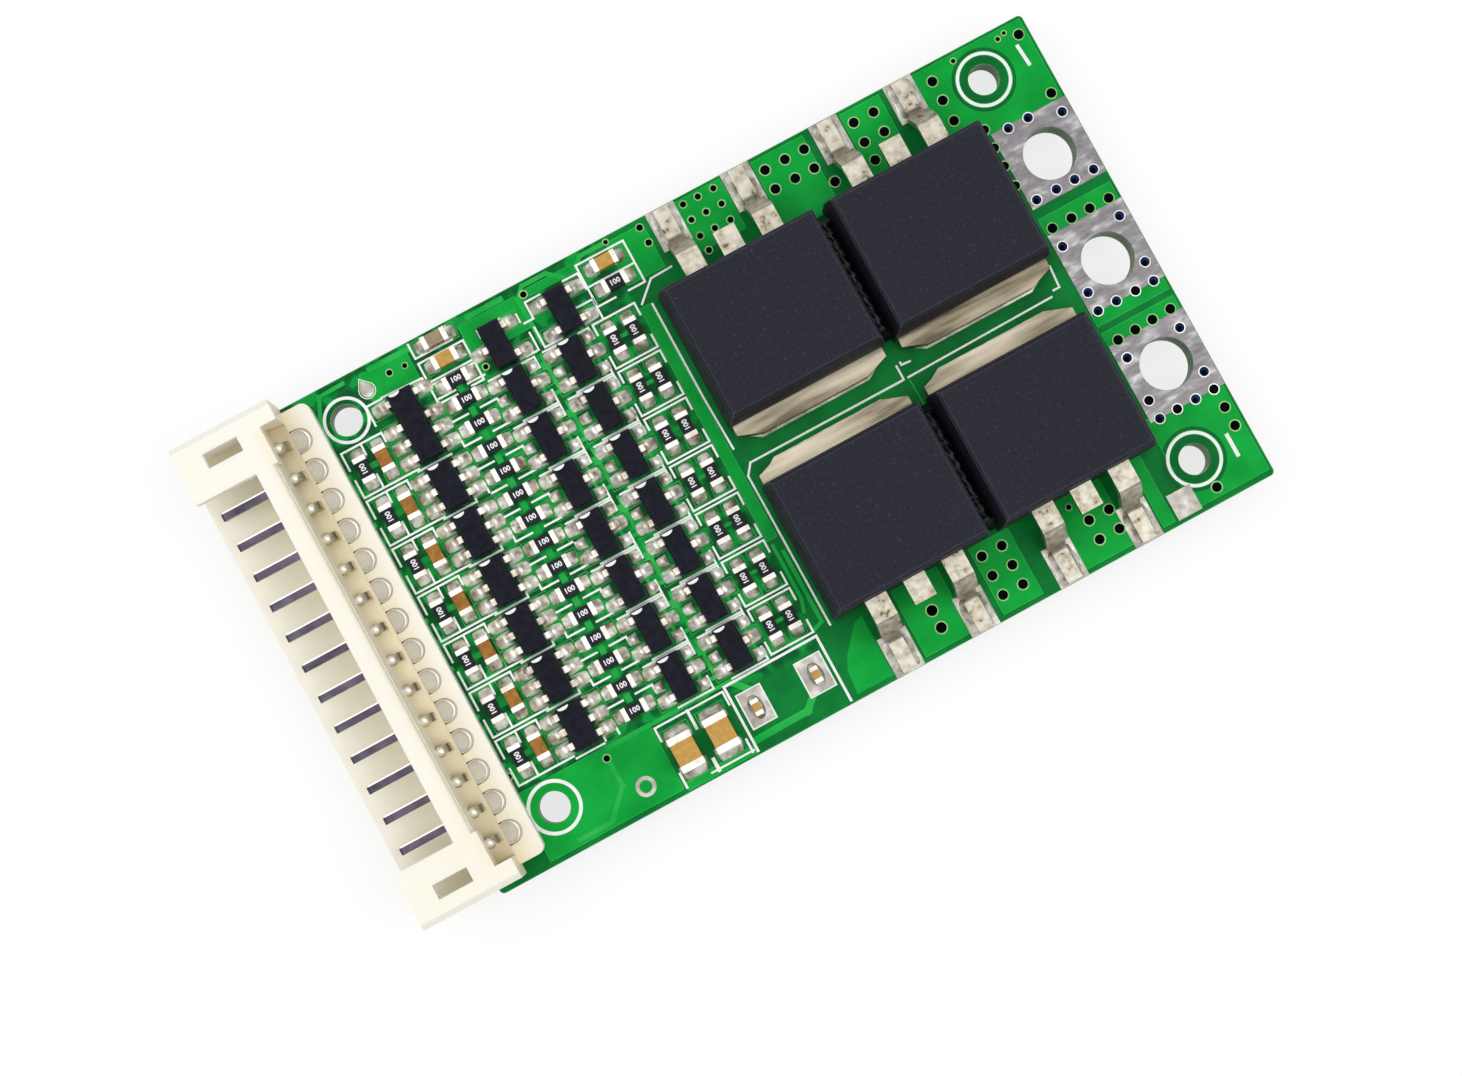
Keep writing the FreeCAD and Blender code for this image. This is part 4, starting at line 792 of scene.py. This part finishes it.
# Solder
class Heaps(Relief):
    """Rounded lumps, such as solder, each a small closed form on its pad."""

    def __init__(self, name, material=SOLDER, slot="chip_end"):
        super().__init__(name, material, slot, origin=FRAME)
        self.smooth = True

    def heap(self, corner, out, side, length, width, profile, steps=9):
        """Lump on a rectangle: corner is its middle at the part, out and side are unit vectors."""
        start, span = len(self.points), steps + 1
        lean, swell, crown, ripple = (rng.uniform(-1, 1) for _ in range(4))
        for i in range(span):
            for j in range(span):
                u, v = i / steps, 2 * j / steps - 1
                rim = (1 - u**6) * (1 - abs(v) ** 5)
                height = max(0.0, profile(u, v)) * rim
                height *= 1 + 0.12 * math.sin(2.5 * u + 3 * lean) * swell
                height *= 1 + 0.12 * math.sin(2.5 * v + 3 * crown) * ripple
                pinch = 1 - 0.14 * u * u * v * v - 0.1 * max(0.0, u - 0.5)
                place = corner + out * (length * u * (1 - 0.1 * v * v)) + side * (width / 2 * v * pinch)
                self.points.append((place.x, place.y, above(0.02) + height))
        skin = []
        for i in range(steps):
            for j in range(steps):
                near, far = start + i * span + j, start + (i + 1) * span + j
                skin.append([near, far, far + 1, near + 1])
        edge = [(i, 0) for i in range(steps)] + [(steps, j) for j in range(steps)]
        edge += [(i, steps) for i in range(steps, 0, -1)] + [(0, j) for j in range(steps, 0, -1)]
        loop = [start + i * span + j for i, j in edge]
        foot, count = len(self.points), len(loop)
        self.points += [(*self.points[k][:2], BOARD_TOP) for k in loop]
        for k in range(count):
            after = (k + 1) % count
            skin.append([foot + k, foot + after, loop[after], loop[k]])
        skin.append([foot + k for k in reversed(range(count))])
        mirrored = out.x * side.y - out.y * side.x < 0
        self.faces += [face[::-1] for face in skin] if mirrored else skin


def nearest(corners, bodies):
    """Middle of the body nearest a solid."""
    middle = (corners[0] + corners[1]) / 2
    centres = [(low + high) / 2 for low, high in bodies]
    return min(centres, key=lambda c: (c - middle).length)


# Lighter lines round the pads: painted highlight
mask_edge_highlights = on_board("mask_edge_highlights", GREEN_EDGE_HIGHLIGHT, "laminate", 0.04, FRAME)


def pad_edge_highlight(corner, out, side, length, width):
    """Painted highlight line where the mask stands up round a pad."""
    near, depth = corner - side * (width / 2 + 0.05), out * (length + 0.05)
    across = side * (width + 0.1)
    mask_edge_highlights.line([tuple(p) for p in (near, near + depth, near + depth + across, near + across)], 0.04)


chip_solder = Heaps("chip_solder")
for kind, reach in (
    ("filter_resistor", 0.55),
    ("filter_capacitor", 0.55),
    ("series_resistor", 0.55),
    ("upper_resistor", 0.55),
    ("supply_capacitor", 0.55),
    ("bleed_resistor", 0.5),
    ("output_capacitor", 0.55),
    ("output_resistor", 0.55),
    ("storage_capacitor", 0.55),
    ("sense_capacitor", 0.3),
):
    body_name = kind + "_bodies" if kind + "_bodies" in nodes else kind + "_body"
    bodies = split_solids(body_name)
    for low, high in split_solids(kind + "_ends"):
        middle, size = (low + high) / 2, high - low
        away = middle - nearest((low, high), bodies)
        along_x = abs(away.x) > abs(away.y)
        out = Vector((math.copysign(1, away.x), 0)) if along_x else Vector((0, math.copysign(1, away.y)))
        side = Vector((-out.y, out.x))
        thick, wide = (size.x, size.y) if along_x else (size.y, size.x)
        base = middle.xy + out * (thick / 2 - 0.02)
        climb = min(size.z * 0.75, 0.42)

        def slope(u, v, climb=climb):
            return 0.06 + climb * (1 - u) ** 1.7 * (1 - 0.35 * v * v) + 0.06 * math.sin(math.pi * u)

        def skirt(u, v, climb=climb):
            return 0.04 + climb * 0.35 * (1 - u) ** 2

        chip_solder.heap(base, out, side, reach, wide * 1.12, slope)
        pad_edge_highlight(base, out, side, reach, wide * 1.12)
        for hand in (-1, 1):
            flank = middle.xy + side * (hand * (wide / 2 - 0.01))
            chip_solder.heap(flank, side * hand, out, 0.1 * wide, thick * 1.05, skirt, 4)
chip_solder.make()


def mound(u, v):
    """Lump of solder over a lead's foot."""
    return 0.16 + 0.4 * math.exp(-((u - 0.42) ** 2) / 0.1) * (1 - 0.45 * v * v)


def pad_drop(u, v):
    """Low rounded lump of solder on a bare pad."""
    return 0.05 + 0.2 * (1 - (2 * u - 1) ** 2) * (1 - v * v)


EAST, NORTH = Vector((1, 0)), Vector((0, 1))
LEAD_PAD = (1.08, 0.92)
lead_solder = Heaps("lead_solder", LEAD_SOLDER)
for lead_name, body_name in (
    ("monitor_leads", "monitor_bodies"),
    ("controller_leads", "controller_body"),
    ("left_transistor_leads", "left_transistor_bodies"),
    ("right_transistor_leads", "right_transistor_bodies"),
    ("upper_left_transistor_leads", "upper_left_transistor_body"),
    ("upper_right_transistor_leads", "upper_right_transistor_body"),
):
    bodies = split_solids(body_name)
    for low, high in split_solids(lead_name):
        middle = (low + high) / 2
        sign = math.copysign(1, middle.x - nearest((low, high), bodies).x)
        heel = Vector(((high.x if sign > 0 else low.x) - sign * 0.48, middle.y))
        lead_solder.heap(heel, EAST * sign, NORTH, *LEAD_PAD, mound, 10)
        pad_edge_highlight(heel, EAST * sign, NORTH, *LEAD_PAD)
for row in ROWS:
    for column in (-11.6, -7.85):
        for end in (-1.05, 1.05):
            lead_solder.heap(Vector((column + 0.85, row - 0.65 + end)), EAST, NORTH, 0.74, 0.78, pad_drop)
        lead_solder.heap(Vector((column - 0.95, row - 0.65)), -EAST, NORTH, 0.7, 0.68, pad_drop)
lead_solder.make()
mask_edge_highlights.make()

power_solder = Heaps("power_solder")
power_pads = on_board("power_pads", TIN, "chip_end", 0.06, FRAME)
for place in ("upper_left", "upper_right", "lower_left", "lower_right"):
    tab_low, tab_high = (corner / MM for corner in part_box(place + "_mosfet_tab"))
    up = 1 if place.startswith("upper") else -1
    edge = tab_low.y if up > 0 else tab_high.y
    across = (tab_low.x + tab_high.x) / 2
    # The rim of tin shows past the tab's end
    rim = [(-4.3, 0.3), (-3.6, -0.13), (3.6, -0.13), (4.3, 0.3)]
    power_pads.prism([(across + x, edge + up * y) for x, y in rim][::up])
    for low, high in split_solids(place + "_mosfet_leads"):
        # The cropped lead reaches no pad
        if high.z - low.z < 1.0:
            continue
        middle = (low.x + high.x) / 2
        tip = high.y if up > 0 else low.y
        foot = corners_of(middle - 0.95, -2.45, middle + 0.95, 0.12)
        power_pads.prism([(x, tip + up * y) for x, y in foot][::up])
        for hand in (-1, 1):

            def bank(u, v, hand=hand):
                return 0.05 + 0.34 * (1 - u) ** 1.8 * (1 - 0.3 * v * v) + 0.03 * math.sin(6 * v + hand)

            flank = Vector((middle + hand * 0.44, tip - up * 1.1))
            power_solder.heap(flank, EAST * hand, NORTH, 0.46, 2.3, bank, 12)
power_pads.make()
power_solder.make()

# Dark ridge in the gaps between the left and right power transistors: painted shade of the gaps
shade_ridge = Heaps("gap_shade_ridge", GAP_SHADE, "package_moulding")
STEPS_ALONG, STEPS_ACROSS, OVERLAP = 60, 8, 0.25
for row in ("upper", "lower"):
    left_low, left_high = (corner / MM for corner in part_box(row + "_left_mosfet_body"))
    right_low, right_high = (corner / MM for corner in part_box(row + "_right_mosfet_body"))
    x0, x1 = left_high.x - OVERLAP, right_low.x + OVERLAP
    y0, y1 = max(left_low.y, right_low.y) + OVERLAP, min(left_high.y, right_high.y) - OVERLAP
    loops = []
    for k in range(STEPS_ALONG + 1):
        along = k / STEPS_ALONG
        y = y0 + (y1 - y0) * along
        tall = 1.5 * min(1.0, 12 * along + 0.15, 12 * (1 - along) + 0.15)
        tall *= 1 + 0.12 * math.sin(9 * along * math.pi)
        loop = [(x1, y, BOARD_TOP), (x0, y, BOARD_TOP)]
        for j in range(STEPS_ACROSS + 1):
            over = 2 * j / STEPS_ACROSS - 1
            ripple = 0.05 * math.sin(23 * along * math.pi + 2 * j)
            height = 0.1 + tall * (0.55 + 0.45 * abs(over) ** 3) + ripple
            loop.append((x0 + (x1 - x0) * j / STEPS_ACROSS, y, above(height)))
        loops.append(loop)
    shade_ridge.loft(loops)
shade_ridge.make()

# Header: tinned dishes on the lands seen in the flange's notches
POSTS = 14
pin_low, pin_high = (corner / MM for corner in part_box("header_pins"))
PIN_PLACES = [(pin_high.x - 0.25, pin_low.y + 0.25 + POST_PITCH * k) for k in range(POSTS)]
DISH_RIM = above(1.52)
DISH_SHIFT = 0.81
DISH = [(0.735, -1.45), (0.735, -0.04), (0.71, 0.0), (0.66, 0.0), (0.62, -0.03), (0.55, -0.1), (0.47, -0.14)]
DISH += [(0.36, -0.155), (0.1, -0.15)]
dishes = Heaps("notch_dishes", DISH_TIN)
for x, y in PIN_PLACES:
    dishes.turned(x + DISH_SHIFT, y, [(radius, DISH_RIM + height) for radius, height in DISH], 40)
dishes.make()

# Painted highlight at the far side of each dish, a bright crescent
gleams = Relief("notch_highlights", CHIP_END, "chip_end", DISH_RIM - 0.2, DISH_RIM - 0.05, FRAME)
outer = arc(0.0, 0.0, 0.6, 24, -78.0, 146.0)
narrowing = [1 - math.sin(math.pi * k / 24) / 6 for k in range(25)]
inner = [(a * inward, b * inward) for (a, b), inward in zip(outer, narrowing)]
for x, y in PIN_PLACES:
    gleams.prism([(x + DISH_SHIFT + a, y + b) for a, b in outer + inner[-2:0:-1]])
gleams.make()

# Rounded shoulders of the posts where they leave the wall
SHOULDER_RADIUS, SHOULDER_SQUASH, SHOULDER_HEIGHT = 0.37, 0.36 / 0.37, 0.44
rises = [math.pi / 2 * k / 9 for k in range(-8, 9)]
shoulder = [(SHOULDER_RADIUS * math.cos(a), 4.16 + SHOULDER_HEIGHT * math.sin(a)) for a in rises]
shoulders = Heaps("post_shoulders", shoulder_material())
for x, y in PIN_PLACES:
    shoulders.turned(x - 0.4, y, shoulder, 24, squash=SHOULDER_SQUASH)
shoulders.make()

# Hollow easing between the trough's floor and the wall, smooth but for its ends
TROUGH_HALF = 14.28
SECTION = [(-25.95, 2.52), (-24.83, 2.52), (-24.83, 3.201), (-25.0, 3.205), (-25.15, 3.225), (-25.3, 3.265)]
SECTION += [(-25.45, 3.335), (-25.6, 3.46), (-25.73, 3.64), (-25.83, 3.9), (-25.91, 4.3), (-25.97, 4.8)]
SECTION += [(-26.03, 5.4), (-26.07, 6.0), (-26.2, 6.0)]
easing = Relief("trough_easing", nylon_material("trough_nylon", 0.0), "header_nylon")
easing.loft([[(x, y, z) for x, z in SECTION] for y in (TROUGH_HALF, -TROUGH_HALF)])
for polygon in easing.make().data.polygons[2 : len(SECTION) - 3]:
    polygon.use_smooth = True

# Underside: copper, terminal lands, vias, tracks and solder cones at the posts
under_copper = Relief("under_copper", GREEN_COPPER, "laminate", -0.02, 0.0)
under_copper.sheet(corners_of(-2.9, -15.2, 25.3, 15.2), within(-2.9, -15.2, 25.3, 15.2))
under_copper.make()
terminal_lands("under_lands", -0.07, 0.0)
under_rings = Relief("under_rings", TIN, "chip_end", -0.06, 0.0)
# Dark discs in the holes underneath: painted shade
under_hole_shades = Relief("under_hole_shades", HOLE_SHADE, "laminate", -0.05, 0.0)
for x, y, radius in VIAS:
    under_rings.ring(x, y, radius, radius + 0.14, 24)
    under_hole_shades.disc(x, y, radius)
under_rings.make()
under_hole_shades.make()
under_tracks = Relief("under_tracks", GREEN_TRACK, "laminate", -0.035, 0.0)
for number, (x, y) in enumerate(PIN_PLACES):
    x, y = x - ARTWORK.x, y - ARTWORK.y
    bend = -24.6 + 0.08 * abs(number - (POSTS - 1) / 2)
    run = y * 0.72
    under_tracks.line([(x, y), (bend, y), (bend + abs(y - run) * 0.6, run), (-5.0 - 0.4 * number, run)], 0.3)
under_tracks.make()
CONE = [(0.16, -1.12), (0.3, -1.05), (0.38, -0.8), (0.55, -0.35), (0.78, -0.08), (0.82, 0.0)]
cones = Heaps("post_solder")
for x, y in PIN_PLACES:
    cones.turned(x, y, CONE, 20, "open")
cones.make()


def number_piece(name, text, size, turn, tops):
    """The same flat number on each of the tops, which are x, y, z in millimetres."""
    curve = bpy.data.curves.new("digits", "FONT")
    curve.body, curve.size = text, size
    curve.align_x = curve.align_y = "CENTER"
    curve.offset = 0.012
    curve.resolution_u = 2
    lettering = bpy.data.objects.new("digits", curve)
    bpy.context.scene.collection.objects.link(lettering)
    bpy.context.view_layer.update()
    flat = bpy.data.meshes.new_from_object(lettering.evaluated_get(bpy.context.evaluated_depsgraph_get()))
    bpy.data.objects.remove(lettering)
    points, faces = [], []
    spin = Matrix.Rotation(math.radians(turn), 3, "Z")
    for top in tops:
        start = len(points)
        points += [tuple((spin @ v.co + top) * MM) for v in flat.vertices]
        faces += [[start + k for k in polygon.vertices] for polygon in flat.polygons]
    new_piece(name, points, faces, SILK)


# Plain digits on the resistors
for kind, turn in (
    ("filter_resistor_bodies", 90),
    ("bleed_resistor_bodies", 90),
    ("series_resistor_bodies", 0),
    ("upper_resistor_body", 0),
    ("output_resistor_body", 0),
):
    solids = split_solids(kind)
    tops = [Vector(((low.x + high.x) / 2, (low.y + high.y) / 2, high.z + 0.01)) for low, high in solids]
    number_piece(kind + "_digits", "100", 0.46, turn, tops)

# Half-moon marks at the upper end of each small package: white print, and a painted highlight of the moulded notch
# there
marks = Relief("package_marks", SILK, "package_moulding", origin=FRAME)
for name in ("controller_body", "monitor_bodies", "left_transistor_bodies", "right_transistor_bodies"):
    for low, high in split_solids(name):
        half_moon = arc((low.x + high.x) / 2 - 0.28, high.y - 0.1, (0.36, 0.2), 14, 180.0, 180.0)
        marks.prism(half_moon, high.z - 0.02, high.z + 0.012)
marks.make()

# Floor: white to the camera, plain paper to the light, so that it keeps the object's shadow
FLOOR_HALF = 9.0
floor_mesh = bpy.data.meshes.new("floor")
floor_corners = corners_of(-FLOOR_HALF, -FLOOR_HALF, FLOOR_HALF, FLOOR_HALF)
floor_mesh.from_pydata([(x, y, FLOOR_Z * MM) for x, y in floor_corners], [], [[0, 1, 2, 3]])
floor = bpy.data.objects.new("floor", floor_mesh)
bpy.context.scene.collection.objects.link(floor)
white = [(0.3, (0.93, 0.93, 0.93)), (0.7, (0.95, 0.95, 0.95))]
paper = surface("floor_paper", white, 20, (0.8, 0.9), 200, bump=0.02, specular=0.1)
tree = paper.node_tree
sight = tree.nodes.new("ShaderNodeLightPath").outputs
seen = calculate(tree, "MAXIMUM", sight["Is Camera Ray"], sight["Is Glossy Ray"])
seen = calculate(tree, "MAXIMUM", seen, sight["Is Transmission Ray"])
tint(paper, seen, (0.26, 0.26, 0.26))
shader = tree.nodes["Principled BSDF"]
shader.inputs["Emission Color"].default_value = (1.0, 1.0, 1.0, 1.0)
tree.links.new(calculate(tree, "MULTIPLY", seen, 0.75), shader.inputs["Emission Strength"])
floor_mesh.materials.append(paper)

# Light: a pale tent, brighter overhead, and two round lamps
world = bpy.data.worlds.new("studio")
bpy.context.scene.world = world
world.use_nodes = True
sky = world.node_tree
background = sky.nodes["Background"]
rise = sky.nodes.new("ShaderNodeSeparateXYZ")
sky.links.new(sky.nodes.new("ShaderNodeTexCoord").outputs["Generated"], rise.inputs["Vector"])
tent = ramp(sky, rise.outputs["Z"], [(0.0, (0.25, 0.25, 0.26)), (0.55, (0.5, 0.5, 0.5)), (0.95, (1.0, 1.0, 1.0))])
sky.links.new(tent, background.inputs["Color"])
background.inputs["Strength"].default_value = 0.9


def lamp(name, place, size, power):
    """Round lamp aimed at the middle of the part."""
    data = bpy.data.lights.new(name, "AREA")
    data.shape = "DISK"
    data.size = size
    data.energy = power
    lamp_object = bpy.data.objects.new(name, data)
    bpy.context.scene.collection.objects.link(lamp_object)
    lamp_object.location = place
    lamp_object.rotation_euler = (-Vector(place)).to_track_quat("-Z", "Y").to_euler()


lamp("key", place=(-0.22, 0.17, 0.46), size=0.6, power=0.9)
lamp("fill", place=(0.25, -0.13, 0.46), size=0.5, power=0.84)

PHOTO_WIDTH, SENSOR_WIDTH = 1462, 36.0


def photograph_camera(azimuth, tilt, roll, distance, focal_pixels, target):
    """Camera looking at the target, with its tilt from straight down and a roll; degrees and millimetres."""
    turn, rise, spin = math.radians(azimuth), math.radians(90 - tilt), math.radians(roll)
    back = Vector((math.sin(turn) * math.cos(rise), -math.cos(turn) * math.cos(rise), math.sin(rise)))
    level = Vector((math.cos(turn), math.sin(turn), 0))
    upward = back.cross(level)
    right = level * math.cos(spin) + upward * math.sin(spin)
    up = upward * math.cos(spin) - level * math.sin(spin)
    data = bpy.data.cameras.new("camera")
    data.sensor_width = SENSOR_WIDTH
    data.lens = focal_pixels / PHOTO_WIDTH * SENSOR_WIDTH
    data.clip_start, data.clip_end = 0.005, 10.0
    camera = bpy.data.objects.new("camera", data)
    bpy.context.scene.collection.objects.link(camera)
    place = (Vector(target) + back * distance) * MM
    camera.matrix_world = Matrix.Translation(place) @ Matrix((right, up, back)).transposed().to_4x4()
    bpy.context.scene.camera = camera


photograph_camera(
    azimuth=-41.558, tilt=3.82, roll=13.077, distance=160.0, focal_pixels=2706.489, target=(-4.923, -4.017, 2.0)
)
bpy.context.scene.view_settings.view_transform = "Standard"
